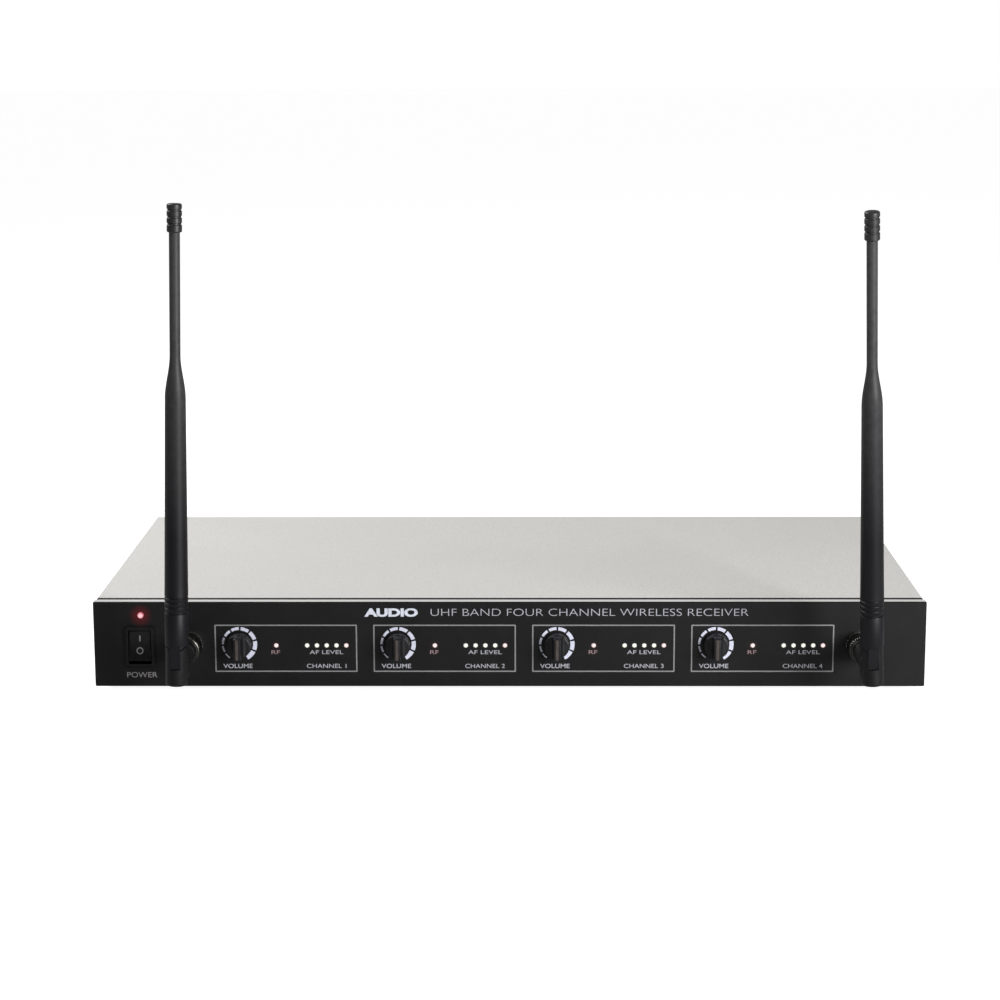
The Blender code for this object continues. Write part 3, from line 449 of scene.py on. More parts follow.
LOOKS = {
    "cover": cover_paint(),
    "panel": panel_finish(),
    "print": ink("panel_print", (0.27, 0.27, 0.30)),
    "bright_print": ink("bright_print", (0.42, 0.44, 0.50)),
    "dim_print": ink("dim_print", (0.19, 0.18, 0.18)),
    "red_print": ink("red_print", (0.2, 0.13, 0.137)),
    "scale": ink("scale_print", (0.42, 0.43, 0.51)),
    "frame": ink("frame_print", (0.14, 0.14, 0.145)),
    "rubber": antenna_rubber(),
    "board": circuit_board(),
    "ribbon": ribbon(),
    "rear": plain("rear_paint", (0.016, 0.016, 0.017), 0.5, grain=1500, strength=0.5, Specular_IOR_Level=0.3),
    "sheet": plain(
        "zinc_sheet", (0.52, 0.52, 0.5), 0.36, 1.0, drift=40, amount=0.12, grain=300, strength=0.06
    ),
    "tin": plain("tin_plate", (0.68, 0.67, 0.64), 0.28, 1.0, drift=60, grain=500, strength=0.05),
    "nickel": plain("nickel_plate", (0.66, 0.64, 0.6), 0.24, 1.0, drift=500, amount=0.1, strength=0.05),
    "dark_nickel": plain(
        "dark_nickel", (0.05, 0.049, 0.045), 0.27, 1.0, drift=500, amount=0.2, strength=0.08
    ),
    "steel": plain("turned_steel", (0.45, 0.45, 0.45), 0.3, 1.0, strength=0.08),
    "gold": plain("gold_contact", (0.75, 0.55, 0.22), 0.25, 1.0, strength=0.04),
    "knob": plain(
        "knob_plastic", (0.005, 0.005, 0.0057), 0.38, grain=3000, strength=0.2, Specular_IOR_Level=0.22
    ),
    "knob_mark": plain("knob_mark", (0.042, 0.034, 0.031), 0.5, amount=0.2, Specular_IOR_Level=0.2),
    "switch": plain(
        "switch_plastic", (0.005, 0.005, 0.0052), 0.3, grain=2500, strength=0.15, Specular_IOR_Level=0.15
    ),
    "switch_mark": plain("switch_mark", (0.15, 0.15, 0.15), 0.6),
    "black_plastic": plain("black_plastic", (0.012, 0.012, 0.013), 0.42, Specular_IOR_Level=0.3),
    "fork": plain(
        "elbow_plastic", (0.0035, 0.0033, 0.0038), 0.46, grain=2800, strength=0.3, Specular_IOR_Level=0.16
    ),
    "foot": plain("foot_rubber", (0.02, 0.02, 0.02), 0.8, grain=900, strength=0.5),
    "pot": plain("pot_body", (0.03, 0.07, 0.1), 0.5),
    "lead": plain("lead_jacket", (0.03, 0.03, 0.03), 0.55),
    "screw": plain("black_screw", (0.05, 0.05, 0.052), 0.35, 0.8, strength=0.1),
    "guide": plain("clear_guide", (0.75, 0.77, 0.75), 0.1, strength=0.05),
    "lamp": lamp_lens("power_lamp", (1, 0.60, 0.64), (0.42, 0.05, 0.07), 1.1),
    "green": lamp_lens("green_light", (1, 1, 0.93), (0.26, 0.32, 0.20), 1.15),
    "red": lamp_lens("red_light", (1, 0.84, 0.82), (0.30, 0.18, 0.19), 1.15),
    # Painted glows: emission on the panel's black round each lamp, standing in for its light spread over the
    # panel.
    "lamp_glow": lamp_glow("power_lamp_glow", (0.1, 0, 0.004), 1.0),
    "green_glow": lamp_glow("green_light_glow", (0.006, 0.008, 0.004), 1.0),
    "red_glow": lamp_glow("red_light_glow", (0.02, 0.004, 0.005), 1.0),
}

CAD_LOOKS = {
    "front_panel": "panel",
    "top_cover": "cover",
    "rear_panel": "rear",
    "mix_plate": "rear",
    "chassis_tray": "sheet",
    "main_board": "board",
    "front_board": "board",
    "tuner_can": "tin",
    "volume_pot": "pot",
    "pot_shaft": "steel",
    "light_guide": "guide",
    "power_led": "lamp",
    "switch_housing": "switch",
    "bnc_socket": "nickel",
    "socket_nut": "nickel",
    "antenna_plug": "nickel",
    "hinge_pin": "steel",
    "antenna_coax": "lead",
    "ribbon_cable": "ribbon",
}


def finish_cad_nodes():
    """Gives each CAD node that stays its material, and softens the switch's bezel."""
    for name, node in frame["nodes"].items():
        for start, look in CAD_LOOKS.items():
            if name.startswith(start):
                node.data.materials.clear()
                node.data.materials.append(LOOKS[look])
    edges = frame["nodes"]["switch_housing"].modifiers.new("edges", "BEVEL")
    edges.width = 0.3 * MM
    edges.segments = 3
    edges.limit_method = "ANGLE"


# Front panel printing -------------------------------------------------------------------


def on_panel(x, z):
    """A frame on the panel's face at a place measured from its middle and its lower edge."""
    middle = (PANEL_LOW.x + PANEL_HIGH.x) / 2
    place = Vector((middle + x, PANEL_LOW.y - PRINT_LIFT, PANEL_LOW.z + z))
    return Matrix.Translation(place) @ FACING_FRONT


def on_rear(x, z):
    place = Vector((x, REAR_HIGH.y + PRINT_LIFT, PANEL_LOW.z + z))
    return Matrix.Translation(place) @ ON_BACK


def label(name, words, place, height, width, look="print", weight=0.0):
    """Flat lettering whose capitals are this high and whose line is this wide, centred."""
    text = bpy.data.curves.new(name, "FONT")
    text.body = words
    text.extrude = PRINT_SHEET / 2
    text.offset = weight
    shape = evaluated(bpy.data.objects.new(name, text))
    xs = [v.co.x for v in shape.verts]
    ys = [v.co.y for v in shape.verts]
    scale = Vector((width / (max(xs) - min(xs)), height / (max(ys) - min(ys)), 1))
    middle = Vector(((max(xs) + min(xs)) / 2, (max(ys) + min(ys)) / 2, 0))
    for vertex in shape.verts:
        vertex.co = (vertex.co - middle) * scale
    return piece(name, shape, LOOKS[look], place=place)


def channel_frame(channel, knob_x):
    width, height, line = 72 * MM, 24.6 * MM, 0.65 * MM
    middle = (knob_x + 23.5 * MM, 19.9 * MM)
    outer = rounded_rectangle(width, height, 0.4 * MM)
    inner = rounded_rectangle(width - 2 * line, height - 2 * line, 0.15 * MM)
    shape = flat([outer, inner], PRINT_SHEET)
    piece(f"channel_frame_{channel}", shape, LOOKS["frame"], place=on_panel(*middle))


def volume_scale(channel, knob_x):
    """Arcs round the knob, each longer and heavier than the one before, clockwise."""
    outer, gap, first, growth, count = 8.95 * MM, 6.5, 26.0, 1.9, 9
    loops, angle = [], 237.0
    for i in range(count):
        sweep = first + growth * i
        inner = outer - (0.7 + 0.2 * i) * MM
        start, end = angle - gap / 2, angle - sweep + gap / 2
        loops.append(arc((0, 0), outer, start, end, 8) + arc((0, 0), inner, end, start, 8))
        angle -= sweep
    knob_z = JOINTS[f"volume_{channel}_turn"]["pos_m"][2] - PANEL_LOW.z
    piece(f"volume_scale_{channel}", flat(loops, PRINT_SHEET), LOOKS["scale"], place=on_panel(knob_x, knob_z))


def panel_lettering():
    for channel in CHANNELS:
        x = JOINTS[f"volume_{channel}_turn"]["pos_m"][0]
        channel_frame(channel, x)
        volume_scale(channel, x)
        low, level = 10.7 * MM, 17.9 * MM
        lights_x = x + 43.9 * MM
        under_knob, under_lights = on_panel(x - 1 * MM, low), on_panel(lights_x, low)
        label(f"volume_label_{channel}", "VOLUME", under_knob, 2.3 * MM, 14.9 * MM, weight=0.01)
        label(f"channel_label_{channel}", f"CHANNEL {channel}", under_lights, 2.2 * MM, 20 * MM)
        label(f"level_label_{channel}", "AF LEVEL", on_panel(lights_x, level), 2 * MM, 17 * MM)
        reception = on_panel(x + 18.3 * MM, level)
        label(f"reception_label_{channel}", "RF", reception, 2 * MM, 4.4 * MM, "red_print")
    label("power_label", "POWER", on_panel(-186 * MM, 6.1 * MM), 2.8 * MM, 15.3 * MM, "dim_print")
    title = "UHF BAND FOUR CHANNEL WIRELESS RECEIVER"
    label("title_label", title, on_panel(40.5 * MM, 38.6 * MM), 3.7 * MM, 160 * MM, weight=-0.018)
    label("audio_label", "AUDIO", on_panel(-59.5 * MM, 38.5 * MM), 4.4 * MM, 27 * MM, "bright_print", 0.05)


# Lights ---------------------------------------------------------------------------------


def light(name, x, z, look, glow, lens, spread, proud):
    """A domed lens over the end of its light guide, on a disc that carries its painted glow."""
    profile = [(0, proud)] + arc((0, proud - lens), lens, 80, 25, 5)
    profile += [(lens, 0), (lens, -0.1 * MM), (0, -0.1 * MM)]
    piece(name, turned(profile, 32), LOOKS[look], place=on_panel(x, z), sharp=60)
    disc = flat([arc((0, 0), spread, 0, 352.5, 47), arc((0, 0), lens - 0.1 * MM, 0, 345, 23)], PRINT_SHEET)
    behind = on_panel(x, z) @ Matrix.Translation((0, 0, -PRINT_SHEET / 2))
    piece(f"{name}_glow", disc, LOOKS[glow], place=behind)


def signal_lights():
    pitch, count = 4.95 * MM, 5
    for channel in CHANNELS:
        low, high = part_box(f"light_guide_{channel}")
        z = (low.z + high.z) / 2 - PANEL_LOW.z
        first = low.x + 2.5 * MM
        light(f"reception_light_{channel}", first, z, "red", "red_glow", 1.3 * MM, 3.4 * MM, 0.5 * MM)
        for i in range(count):
            x = high.x - 2.5 * MM - (count - 1 - i) * pitch
            colour = "red" if i == count - 1 else "green"
            name = f"level_light_{channel}_{i + 1}"
            light(name, x, z, colour, f"{colour}_glow", 1.3 * MM, 2.3 * MM, 0.5 * MM)


def power_light():
    """The power lamp's dome, and the painted glow round it on the panel."""
    low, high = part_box("power_led")
    x, z = (low.x + high.x) / 2, (low.z + high.z) / 2 - PANEL_LOW.z
    profile = [(0, 1.4 * MM)] + arc((0, -0.1 * MM), 1.5 * MM, 75, 0, 8) + [(1.5 * MM, -2 * MM), (0, -2 * MM)]
    shape = turned(profile, 40)
    piece("power_lens", shape, LOOKS["lamp"], place=on_panel(x, z), replaces=["power_led"], sharp=60)
    disc = flat([arc((0, 0), 6.4 * MM, 0, 354, 59), arc((0, 0), 1.85 * MM, 0, 345, 23)], PRINT_SHEET)
    piece("power_lens_glow", disc, LOOKS["lamp_glow"], place=on_panel(x, z))


# Controls -------------------------------------------------------------------------------


def knob_shape():
    """A round base and a bar across it that flares down into the base."""
    base_radius, back, base_top, top = 6.2 * MM, 0.7 * MM, 6 * MM, 12.5 * MM
    profile = [(0, base_top)] + arc((base_radius - 0.8 * MM, base_top - 0.8 * MM), 0.8 * MM, 90, 5, 6)
    profile += [(base_radius, back + 0.3 * MM), (base_radius - 0.3 * MM, back), (0, back)]
    base = turned(profile, 96)
    half, flare = 1.8 * MM, 4.6 * MM
    side = arc((flare, base_top + 2.6 * MM), flare - half, 180, 255, 8)[::-1]
    side += [(half, top - 0.35 * MM)] + arc((half - 0.35 * MM, top - 0.35 * MM), 0.35 * MM, 0, 90, 3)
    foot = [(side[0][0], 3 * MM)]
    half_outline = foot + side
    bar = flat([half_outline + [(-x, z) for x, z in reversed(half_outline)]], 14 * MM)
    bar = turned_over(bar, Matrix.Rotation(pi / 2, 4, "X"))
    rounding = [(0, top)] + arc((5.2 * MM, top - 0.6 * MM), 0.6 * MM, 90, 0, 4)
    rounding += [(5.9 * MM, 2 * MM), (0, 2 * MM)]
    bar = combined(bar, turned(rounding, 96), "INTERSECT")
    return joined(base, bar)


def knob_line():
    """The pale line along the bar's front, which points to the setting."""
    return flat([rounded_rectangle(1.4 * MM, 10.4 * MM, 0.3 * MM)], PRINT_SHEET)


def volume_knobs():
    for channel in CHANNELS:
        joint = JOINTS[f"volume_{channel}_turn"]
        place = Matrix.Translation(joint["pos_m"]) @ FACING_FRONT
        knob, body = f"volume_knob_{channel}", f"volume_{channel}"
        look = LOOKS["knob"]
        piece(f"knob_{channel}", knob_shape(), look, body, place, [knob], soften=0.12 * MM)
        front = place @ Matrix.Translation((0, 0, 12.5 * MM + PRINT_SHEET / 2))
        piece(f"knob_line_{channel}", knob_line(), LOOKS["knob_mark"], body, front)


def rocker_switch():
    """The dished rocker with its two marks. Its frame is the axle, turned with the throw."""
    joint = JOINTS["power_switch_rock"]
    throw = radians(joint["range_deg"][1])
    axle = Matrix.Translation(joint["pos_m"]) @ Matrix.Rotation(-throw / 2, 4, "X")
    reach, width, middle, dish = 7.8 * MM, 11 * MM, 5.2 * MM, 1.1 * MM
    end = reach - 0.5 * MM
    steps = 16
    front = [(end * i / steps, middle + dish * (i / steps) ** 2) for i in range(-steps, steps + 1)]
    tail = [(reach, middle + 0.5 * MM), (reach - 0.6 * MM, 0.6 * MM), (2.6 * MM, -4.2 * MM)]
    side = front + tail + [(-z, y) for z, y in reversed(tail)]
    upright = Matrix(((0, 0, 1, 0), (0, -1, 0, 0), (1, 0, 0, 0), (0, 0, 0, 1)))
    shape = turned_over(flat([side], width), upright)
    bmesh.ops.recalc_face_normals(shape, faces=shape.faces)
    look, body = LOOKS["switch"], "power_rocker"
    piece("rocker", shape, look, body, axle, ["power_rocker"], 30, 0.25 * MM)
    circle_line = [arc((0, 0), 1.75 * MM, 0, 352, 44), arc((0, 0), 1.25 * MM, 0, 352, 44)]
    for name, height, shape in (
        ("rocker_on_mark", 3.6 * MM, flat([rounded_rectangle(0.55 * MM, 3 * MM, 0.1 * MM)], PRINT_SHEET)),
        ("rocker_off_mark", -2.6 * MM, flat(circle_line, PRINT_SHEET)),
    ):
        depth = middle + dish * (height / end) ** 2 + 0.05 * MM
        slope = 2 * dish * height / end**2
        lean = Matrix.Rotation(slope, 4, "X")
        place = axle @ Matrix.Translation((0, -depth, height)) @ lean @ FACING_FRONT
        piece(name, shape, LOOKS["switch_mark"], "power_rocker", place)


# Antennas -------------------------------------------------------------------------------


def antenna_frames(side):
    """The swivel's frame and the hinge's frame, as they stand at rest."""
    swivel, fold = JOINTS[f"antenna_{side}_swivel"], JOINTS[f"antenna_{side}_fold"]
    axis = Vector(fold["axis"])
    lean = Vector((1, 0)).angle_signed(Vector((axis.x, axis.z)))
    leaning = Matrix.Rotation(lean, 4, "Y")
    tilt = Matrix.Rotation(radians(-fold["range_deg"][0]), 4, "X")
    return Matrix.Translation(swivel["pos_m"]) @ leaning, Matrix.Translation(fold["pos_m"]) @ leaning @ tilt


def coupling_ring():
    """The plug's ribbed ring, with the two round holes its bayonet ends in."""
    back, front = 3 * MM, 15.5 * MM
    profile = [(4.6 * MM, front), (5.5 * MM, front), (6.1 * MM, front - 0.6 * MM), (6.1 * MM, 13.1 * MM)]
    profile += [(6.5 * MM, 12.9 * MM), (7.1 * MM, 12.3 * MM)]
    profile += [(7.1 * MM, 12.3 * MM - 1.25 * MM * i) for i in range(1, 6)]
    profile += [(7.1 * MM, 4.9 * MM), (6.7 * MM, 4.4 * MM), (6.7 * MM, back), (5.9 * MM, back)]
    profile += [(5.9 * MM, 13.5 * MM), (4.6 * MM, 13.5 * MM), (4.6 * MM, front)]
    ring = fluted(turned(profile, 160), 4.95 * MM, 12.5 * MM, 40, 0.35 * MM)
    return cut(ring, rod(1 * MM, -9 * MM, 9 * MM, "X", (0, 10.2 * MM), 24))


def fork_shape():
    """The elbow: a barrel to the plug, and an upright fork with round-shouldered ears."""
    radius, top, bottom, corner = 5.5 * MM, 11.6 * MM, -8.4 * MM, 1.2 * MM
    profile = [(0, top), (radius, top)]
    profile += arc((radius - corner, bottom + corner), corner, 0, -90, 8) + [(0, bottom)]
    web = flat([rounded_rectangle(10.2 * MM, 18 * MM, 1.6 * MM)], 7.6 * MM)
    web = turned_over(web, Matrix.Translation((0, 3.8 * MM, 2.2 * MM)) @ FACING_FRONT)
    barrel_profile = [(0, 30 * MM), (4.7 * MM, 30 * MM), (5.2 * MM, 29.5 * MM), (5.2 * MM, 26 * MM)]
    barrel_profile += [(4.9 * MM, 25.7 * MM), (4.9 * MM, 24.9 * MM), (5.2 * MM, 24.6 * MM)]
    barrel_profile += [(5.2 * MM, 2 * MM), (0, 2 * MM)]
    barrel = turned_over(turned(barrel_profile, 64), FACING_BACK)
    fork = joined(turned(profile, 96), web, barrel)
    half_slot = TONGUE_WIDTH / 2 + 0.06 * MM
    slot = boxes(((-half_slot, -8 * MM, PIN_HEIGHT - 5.08 * MM), (half_slot, 5.3 * MM, 14 * MM)))
    swing = rod(6.95 * MM, -half_slot, half_slot, "X", (0, PIN_HEIGHT), 64)
    neck = turned_over(rod(4.5 * MM, 26 * MM, 32 * MM), FACING_BACK)
    pin_hole = rod(1.55 * MM, -8 * MM, 8 * MM, "X", (0, PIN_HEIGHT), 32)
    return cut(fork, slot, swing, neck, ear_rounding(top), pin_hole)


def ear_rounding(top):
    pin, beyond = PIN_HEIGHT, 9 * MM
    corner = arc((0, pin), top - pin, 90, 180, 16)
    shape = flat([corner + [(-beyond, pin), (-beyond, top + 2 * MM), (0, top + 2 * MM)]], 16 * MM)
    return turned_over(shape, Matrix(((0, 0, 1, 0), (1, 0, 0, 0), (0, 1, 0, 0), (0, 0, 0, 1))))


def hinge_pin_shape():
    """The pin through the ears, with a slotted head at one end."""
    pin = rod(1.45 * MM, -5.2 * MM, 5.2 * MM, "X", segments=32)
    return cut(pin, boxes(((4.8 * MM, -2 * MM, -0.3 * MM), (6 * MM, 2 * MM, 0.3 * MM))))


def whip_profile():
    """From the rod's top down: rod, swelling shoulder, long taper, relief rings and collar."""
    rod_radius, wide, collar = 2.6 * MM, 5 * MM, 5.75 * MM
    profile = [(0, 216 * MM), (rod_radius - 0.3 * MM, 216 * MM), (rod_radius, 215.7 * MM)]
    start, end, steps = 148.5 * MM, 127 * MM, 24
    for i in range(steps + 1):
        share = (1 - cos(pi * i / steps)) / 2
        profile.append((rod_radius + (wide - rod_radius) * share, start + (end - start) * i / steps))
    rings, pitch = 3, 2.5 * MM
    foot = 23.8 * MM + rings * pitch
    for i in range(1, 12):
        share = i / 12
        profile.append((wide + (collar - 0.02 * MM - wide) * share, end + (foot - end) * share))
    for i in range(rings):
        top = foot - i * pitch
        profile += [(collar, top)] + arc((collar + 0.1 * MM, top - 0.65 * MM), 0.5 * MM, 100, 260, 6)
        profile += [(collar, top - 1.3 * MM), (collar, top - pitch + 0.15 * MM)]
        profile.append((collar - 0.1 * MM, top - pitch))
    profile += [(collar - 0.6 * MM, 23.6 * MM), (collar - 0.6 * MM, 22.7 * MM)]
    profile += [(collar - 0.1 * MM, 22.5 * MM), (collar, 22.3 * MM), (collar, 6.8 * MM)]
    profile += arc((collar - 0.3 * MM, 6.8 * MM), 0.3 * MM, 0, -90, 3)
    return profile + [(0, 6.5 * MM)]


def whip_shape():
    front, round_back = -4.9 * MM, 5 * MM
    corner = [(front, 8 * MM), (front, -4.66 * MM), (front + 0.35 * MM, -round_back)]
    tongue = flat([corner + arc((0, 0), round_back, 270, 360, 12) + [(round_back, 8 * MM)]], TONGUE_WIDTH)
    tongue = turned_over(tongue, Matrix(((0, 0, 1, 0), (1, 0, 0, 0), (0, 1, 0, 0), (0, 0, 0, 1))))
    whip = joined(turned(whip_profile(), 64), tongue, collar_skirt())
    return cut(whip, rod(1.7 * MM, -6 * MM, 6 * MM, "X", segments=32))


def collar_skirt():
    """The collar's front edge beside the tongue, which reaches down over the round ears."""
    middle = TONGUE_WIDTH / 2
    ears = rod(7.15 * MM, -8 * MM, 8 * MM, "X", segments=96)
    between = boxes(((-middle, -8 * MM, 2 * MM), (middle, 8 * MM, 8 * MM)))
    back = boxes(((-8 * MM, 0, 2 * MM), (8 * MM, 8 * MM, 8 * MM)))
    return cut(rod(5.6 * MM, 4 * MM, 6.7 * MM, segments=96), ears, between, back)


def cap_shape():
    """The tip's cap, with three broad ribs below its crown."""
    top, radius, bottom, pitch = 220 * MM, 3.6 * MM, 206.5 * MM, 3.3 * MM
    profile = [(0, top)] + arc((radius - 0.9 * MM, top - 0.9 * MM), 0.9 * MM, 90, 0, 6)
    for i in range(3):
        start = top - 2.4 * MM - i * pitch
        profile += [(radius, start), (radius - 0.35 * MM, start - 0.25 * MM)]
        profile += [(radius - 0.35 * MM, start - 0.95 * MM), (radius, start - 1.2 * MM)]
    profile += [(radius, bottom + 0.4 * MM), (radius - 0.4 * MM, bottom)]
    profile += [(2.7 * MM, bottom), (2.7 * MM, bottom + 9 * MM)]
    return turned(profile + [(0, bottom + 9 * MM)], 48)


def antenna(side):
    swivel, hinge = antenna_frames(side)
    base, whip = f"antenna_base_{side}", f"antenna_whip_{side}"
    ring_place = Matrix.Translation(JOINTS[f"antenna_{side}_lock"]["pos_m"]) @ FACING_FRONT
    ring = f"antenna_nut_{side}"
    look = LOOKS["dark_nickel"]
    piece(f"coupling_ring_{side}", coupling_ring(), look, ring, ring_place, [ring])
    elbow = f"antenna_elbow_{side}"
    piece(f"fork_{side}", fork_shape(), LOOKS["fork"], base, swivel, [elbow], soften=0.2 * MM)
    pin_place = swivel @ Matrix.Translation((0, 0, PIN_HEIGHT))
    pin = f"hinge_pin_{side}"
    piece(f"fork_pin_{side}", hinge_pin_shape(), LOOKS["steel"], base, pin_place, [pin])
    piece(f"whip_{side}", whip_shape(), LOOKS["rubber"], whip, hinge, [whip], 40)
    cap = f"whip_cap_{side}"
    piece(f"tip_cap_{side}", cap_shape(), LOOKS["black_plastic"], whip, hinge, [cap], 40)


# Rear, sides and underside --------------------------------------------------------------


def screw_head(radius):
    """A pan head with a cross recess, facing +Z from the surface at 0."""
    height = 0.55 * radius
    profile = [(0, height)] + arc((0, height - 1.6 * radius), 1.6 * radius, 85, 58, 5)
    profile += [(radius, 0.15 * radius), (radius, 0), (0, 0)]
    arm, half = 0.55 * radius, 0.12 * radius
    floor, above = 0.2 * radius, 2 * radius
    cross = boxes(((-arm, -half, floor), (arm, half, above)))
    return cut(turned(profile, 32), joined(cross, boxes(((-half, -arm, floor), (half, arm, above)))))


def screw(name, place, radius):
    piece(name, screw_head(radius), LOOKS["screw"], place=place, sharp=30)


def behind_node(name):
    """The middle of a connector on the rear panel's face, and the frame there."""
    low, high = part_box(name)
    centre = Vector(((low.x + high.x) / 2, REAR_HIGH.y, (low.z + high.z) / 2))
    return centre, Matrix.Translation(centre) @ ON_BACK


def output_socket(channel):
    """A male three-pin output: plated shell and flange, black insert, three pins and labels."""
    centre, place = behind_node(f"xlr_output_{channel}")
    plate = flat([rounded_rectangle(24 * MM, 29 * MM, 3 * MM)], 1.3 * MM)
    plate = turned_over(plate, Matrix.Translation((0, 0, 0.95 * MM)))
    profile = [(8.4 * MM, 2 * MM), (9.6 * MM, 2 * MM), (10.4 * MM, 1.5 * MM), (10.4 * MM, -19 * MM)]
    profile += [(8.4 * MM, -19 * MM), (8.4 * MM, 2 * MM)]
    shell = joined(cut(plate, rod(9.5 * MM, -1 * MM, 3 * MM)), turned(profile, 64))
    key = boxes(((-1.1 * MM, 7.4 * MM, -15 * MM), (1.1 * MM, 9 * MM, -1 * MM)))
    name = f"output_shell_{channel}"
    cad = f"xlr_output_{channel}"
    shape, look, slot = joined(shell, key), LOOKS["nickel"], "connector_nickel"
    piece(name, shape, look, place=place, replaces=[cad], soften=0.1 * MM)
    insert = rod(8.3 * MM, -19 * MM, -14 * MM)
    piece(f"output_insert_{channel}", insert, LOOKS["black_plastic"], place=place)
    for i, angle in enumerate((90, 210, 330)):
        x, y = 4 * MM * cos(radians(angle)), -4 * MM * sin(radians(angle))
        tip = [(0, -3.9 * MM)] + arc((0.6 * MM, -4.5 * MM), 0.6 * MM, 90, 0, 4)
        tip += [(1.2 * MM, -15 * MM), (0, -15 * MM)]
        pin_place = place @ Matrix.Translation((x, y, 0))
        piece(f"output_pin_{channel}_{i + 1}", turned(tip, 24), LOOKS["gold"], place=pin_place)
    for i, (x, y) in enumerate(((-9.3, 11.8), (9.3, -11.8))):
        corner = place @ Matrix.Translation((x * MM, y * MM, 1.6 * MM))
        screw(f"output_screw_{channel}_{i + 1}", corner, 1.7 * MM)
    beside = on_rear(centre.x - 18.2 * MM, 22 * MM)
    label(f"output_label_{channel}", f"CH {channel}", beside, 2.4 * MM, 8 * MM)


def mix_jack():
    centre, place = behind_node("mix_output_jack")
    washer = cut(rod(8.1 * MM, 0.1 * MM, 0.7 * MM), rod(4.6 * MM, -1 * MM, 3 * MM))
    piece("jack_washer", washer, LOOKS["steel"], place=place, soften=0.15 * MM)
    nut = cut(rod(6.9 * MM, 0.75 * MM, 2.3 * MM, segments=6), rod(4.6 * MM, -1 * MM, 3 * MM))
    piece("jack_nut", nut, LOOKS["nickel"], place=place, soften=0.25 * MM)
    profile = [(3.3 * MM, 3.5 * MM), (4.2 * MM, 3.5 * MM)]
    for i in range(5):
        profile += [(4.5 * MM, 3.1 * MM - 0.6 * i * MM), (4.2 * MM, 2.8 * MM - 0.6 * i * MM)]
    profile += [(4.5 * MM, 0), (4.5 * MM, -4 * MM), (3.3 * MM, -4 * MM), (3.3 * MM, 3.5 * MM)]
    piece("jack_bush", turned(profile, 48), LOOKS["nickel"], place=place)
    body = boxes(((-8 * MM, -8 * MM, -26 * MM), (8 * MM, 8 * MM, -1.8 * MM)))
    body = cut(body, rod(3.3 * MM, -24 * MM, 1 * MM))
    look = LOOKS["black_plastic"]
    piece("jack_body", body, look, place=place, replaces=["mix_output_jack"], soften=0.3 * MM)
    label("mix_label", "MIX OUT", on_rear(centre.x, 9 * MM), 2.4 * MM, 15 * MM)


def power_inlet():
    centre, place = behind_node("dc_inlet")
    profile = [(3 * MM, 1.4 * MM), (5 * MM, 1.4 * MM), (5.5 * MM, 0.9 * MM), (5.5 * MM, 0.35 * MM)]
    profile += [(4 * MM, 0.35 * MM), (4 * MM, -3 * MM), (3 * MM, -3 * MM), (3 * MM, 1.4 * MM)]
    body = boxes(((-5 * MM, -6 * MM, -13 * MM), (5 * MM, 6 * MM, -1.8 * MM)))
    body = cut(body, rod(3 * MM, -10 * MM, 1 * MM))
    shape = joined(turned(profile, 48), body)
    piece("inlet_body", shape, LOOKS["black_plastic"], place=place, replaces=["dc_inlet"])
    tip = [(0, 0.4 * MM)] + arc((0.6 * MM, 0), 0.4 * MM, 90, 0, 4) + [(1 * MM, -10.5 * MM), (0, -10.5 * MM)]
    piece("inlet_pin", turned(tip, 24), LOOKS["nickel"], place=place)
    label("inlet_label", "DC IN", on_rear(centre.x, 9 * MM), 2.4 * MM, 10 * MM)


def rear_details():
    for channel in CHANNELS:
        output_socket(channel)
    mix_jack()
    power_inlet()
    label("outputs_label", "BALANCED OUTPUTS", on_rear(52.5 * MM, 39.4 * MM), 2.5 * MM, 36 * MM)
    half = REAR_HIGH.x - 8 * MM
    spots = [(x, z) for x in (-half, half) for z in (8 * MM, 37 * MM)]
    spots += [(-105 * MM, 8 * MM), (90 * MM, 4.5 * MM)]
    for i, (x, z) in enumerate(spots):
        screw(f"rear_screw_{i + 1}", on_rear(x, z), 2.4 * MM)


def case_screws():
    """Screws along each side of the cover, sunk to stay within the front's width, and under the tray."""
    depth = COVER_HIGH.y - COVER_LOW.y
    for side, x, turn in (("left", COVER_LOW.x, -90), ("right", COVER_HIGH.x, 90)):
        facing = Matrix.Rotation(radians(turn), 4, "Y")
        for i, share in enumerate((0.12, 0.5, 0.88)):
            place = Vector((x, COVER_LOW.y + share * depth, COVER_LOW.z + 8 * MM))
            inset = Matrix.Translation((0, 0, -0.65 * MM))
            screw(f"side_screw_{side}_{i + 1}", Matrix.Translation(place) @ facing @ inset, 2.4 * MM)
    low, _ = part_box("chassis_tray")
    downward = Matrix.Rotation(pi, 4, "X")
    for i, (x, y) in enumerate((x, y) for x in (-180, 0, 180) for y in (-30, 100)):
        screw(f"board_screw_{i + 1}", Matrix.Translation((x * MM, y * MM, low.z)) @ downward, 2.4 * MM)


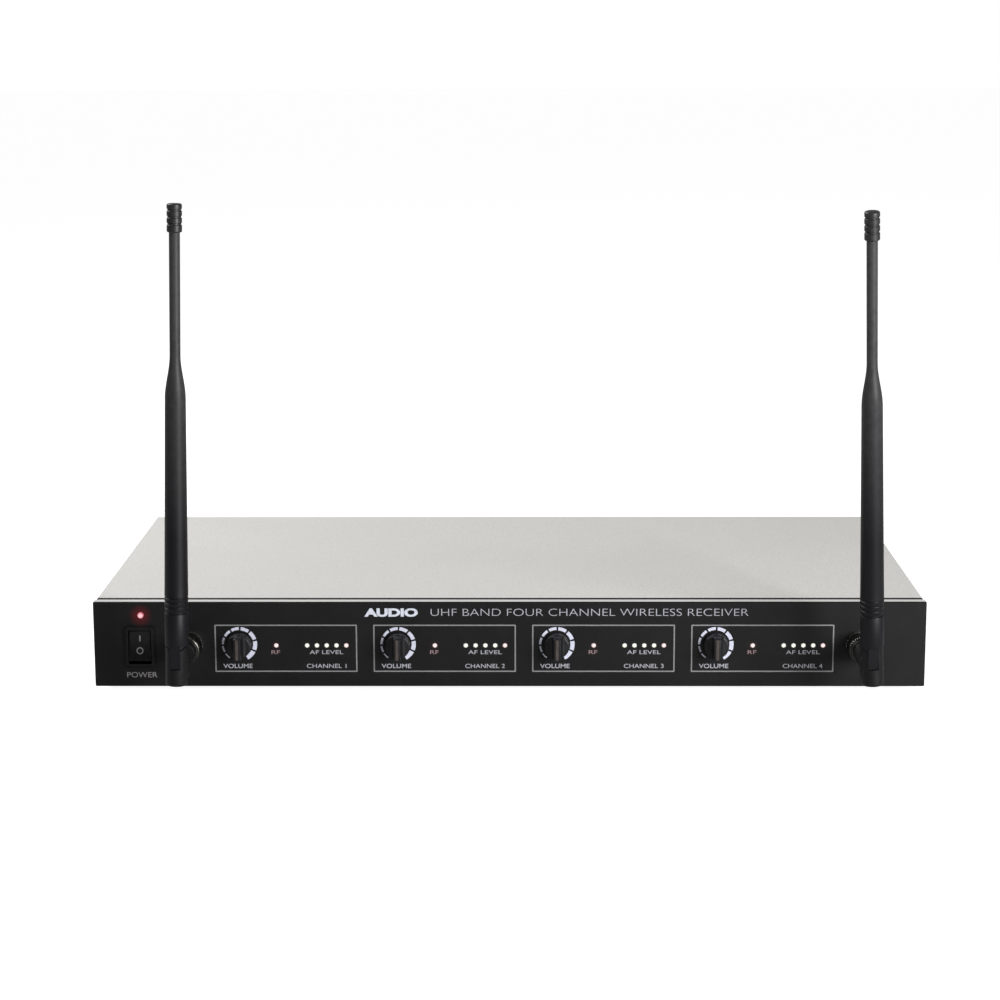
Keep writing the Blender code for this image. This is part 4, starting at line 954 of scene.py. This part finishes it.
def feet():
    """Round rubber feet with a rounded rim and a recessed screw."""
    for name in [n for n in frame["nodes"] if n.startswith("foot_")]:
        low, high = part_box(name)
        top, radius = high.z - low.z, (high.x - low.x) / 2
        profile = [(0, top), (radius, top), (radius, top - 1 * MM), (radius - 1 * MM, 0.7 * MM)]
        profile += arc((radius - 2 * MM, 0.8 * MM), 0.8 * MM, -10, -90, 4)
        profile += [(3.4 * MM, 0), (3 * MM, 0.4 * MM), (3 * MM, 2.4 * MM), (0, 2.4 * MM)]
        centre = Vector(((low.x + high.x) / 2, (low.y + high.y) / 2, low.z))
        shape, place = turned(profile, 48), Matrix.Translation(centre)
        piece(f"rubber_{name}", shape, LOOKS["foot"], place=place, replaces=[name])
        seat = Matrix.Translation(centre + Vector((0, 0, 2.4 * MM))) @ Matrix.Rotation(pi, 4, "X")
        screw(f"{name}_screw", seat, 2.2 * MM)


# Room -----------------------------------------------------------------------------------


def seen_and_cast(tree, socket, seen, cast):
    """White where the camera looks at it, and weaker as a light, as a backdrop far behind is."""
    rays = tree.nodes.new("ShaderNodeLightPath")
    strength = tree.nodes.new("ShaderNodeMapRange")
    strength.inputs["To Min"].default_value = cast
    strength.inputs["To Max"].default_value = seen
    tree.links.new(rays.outputs["Is Camera Ray"], strength.inputs["Value"])
    tree.links.new(strength.outputs["Result"], socket)


def studio():
    scene = bpy.context.scene
    scene.view_settings.view_transform = "Standard"
    world = bpy.data.worlds.new("studio")
    scene.world = world
    world.use_nodes = True
    background = world.node_tree.nodes["Background"]
    background.inputs["Color"].default_value = (1, 1, 1, 1)
    seen_and_cast(world.node_tree, background.inputs["Strength"], 1.0, 0.24)
    size = 12
    mesh = mesh_of(boxes(((-size, -size, -0.02), (size, size, 0))), "floor")
    floor = bpy.data.objects.new("floor", mesh)
    scene.collection.objects.link(floor)
    white = Look("floor_white", (0.3, 0.3, 0.3), 0.9)
    white.shader.inputs["Emission Color"].default_value = (1, 1, 1, 1)
    seen_and_cast(white.material.node_tree, white.shader.inputs["Emission Strength"], 0.9, 0.1)
    mesh.materials.append(white.varied(3, 0.01).material)


def soft_light(name, place, target, size, power):
    lamp = bpy.data.lights.new(name, "AREA")
    lamp.shape = "RECTANGLE"
    lamp.size, lamp.size_y = size
    lamp.energy = power
    thing = bpy.data.objects.new(name, lamp)
    bpy.context.scene.collection.objects.link(thing)
    thing.location = place
    thing.rotation_euler = (Vector(target) - Vector(place)).to_track_quat("-Z", "Y").to_euler()


def camera():
    """The camera of the photo: just left of straight ahead, looking 11 degrees down."""
    lens = bpy.data.cameras.new("camera")
    lens.lens = 87.18
    lens.sensor_width = 36
    thing = bpy.data.objects.new("camera", lens)
    bpy.context.scene.collection.objects.link(thing)
    from_panel = Vector((7.25, -1186.1, 328.2)) * MM
    thing.location = Vector((0, PANEL_LOW.y, PANEL_LOW.z)) + from_panel
    thing.rotation_euler = (radians(78.935), radians(0.138), radians(0.538))
    bpy.context.scene.camera = thing


finish_cad_nodes()
panel_lettering()
signal_lights()
power_light()
volume_knobs()
rocker_switch()
for antenna_side in SIDES:
    antenna(antenna_side)
rear_details()
case_screws()
feet()
studio()
soft_light("overhead", (-0.85, 0.35, 1.05), (-0.12, 0.05, 0), (0.8, 0.8), 26)
soft_light("right_front", (0.85, -1.0, 0.4), (0.15, 0, 0.08), (0.6, 0.7), 34)
camera()
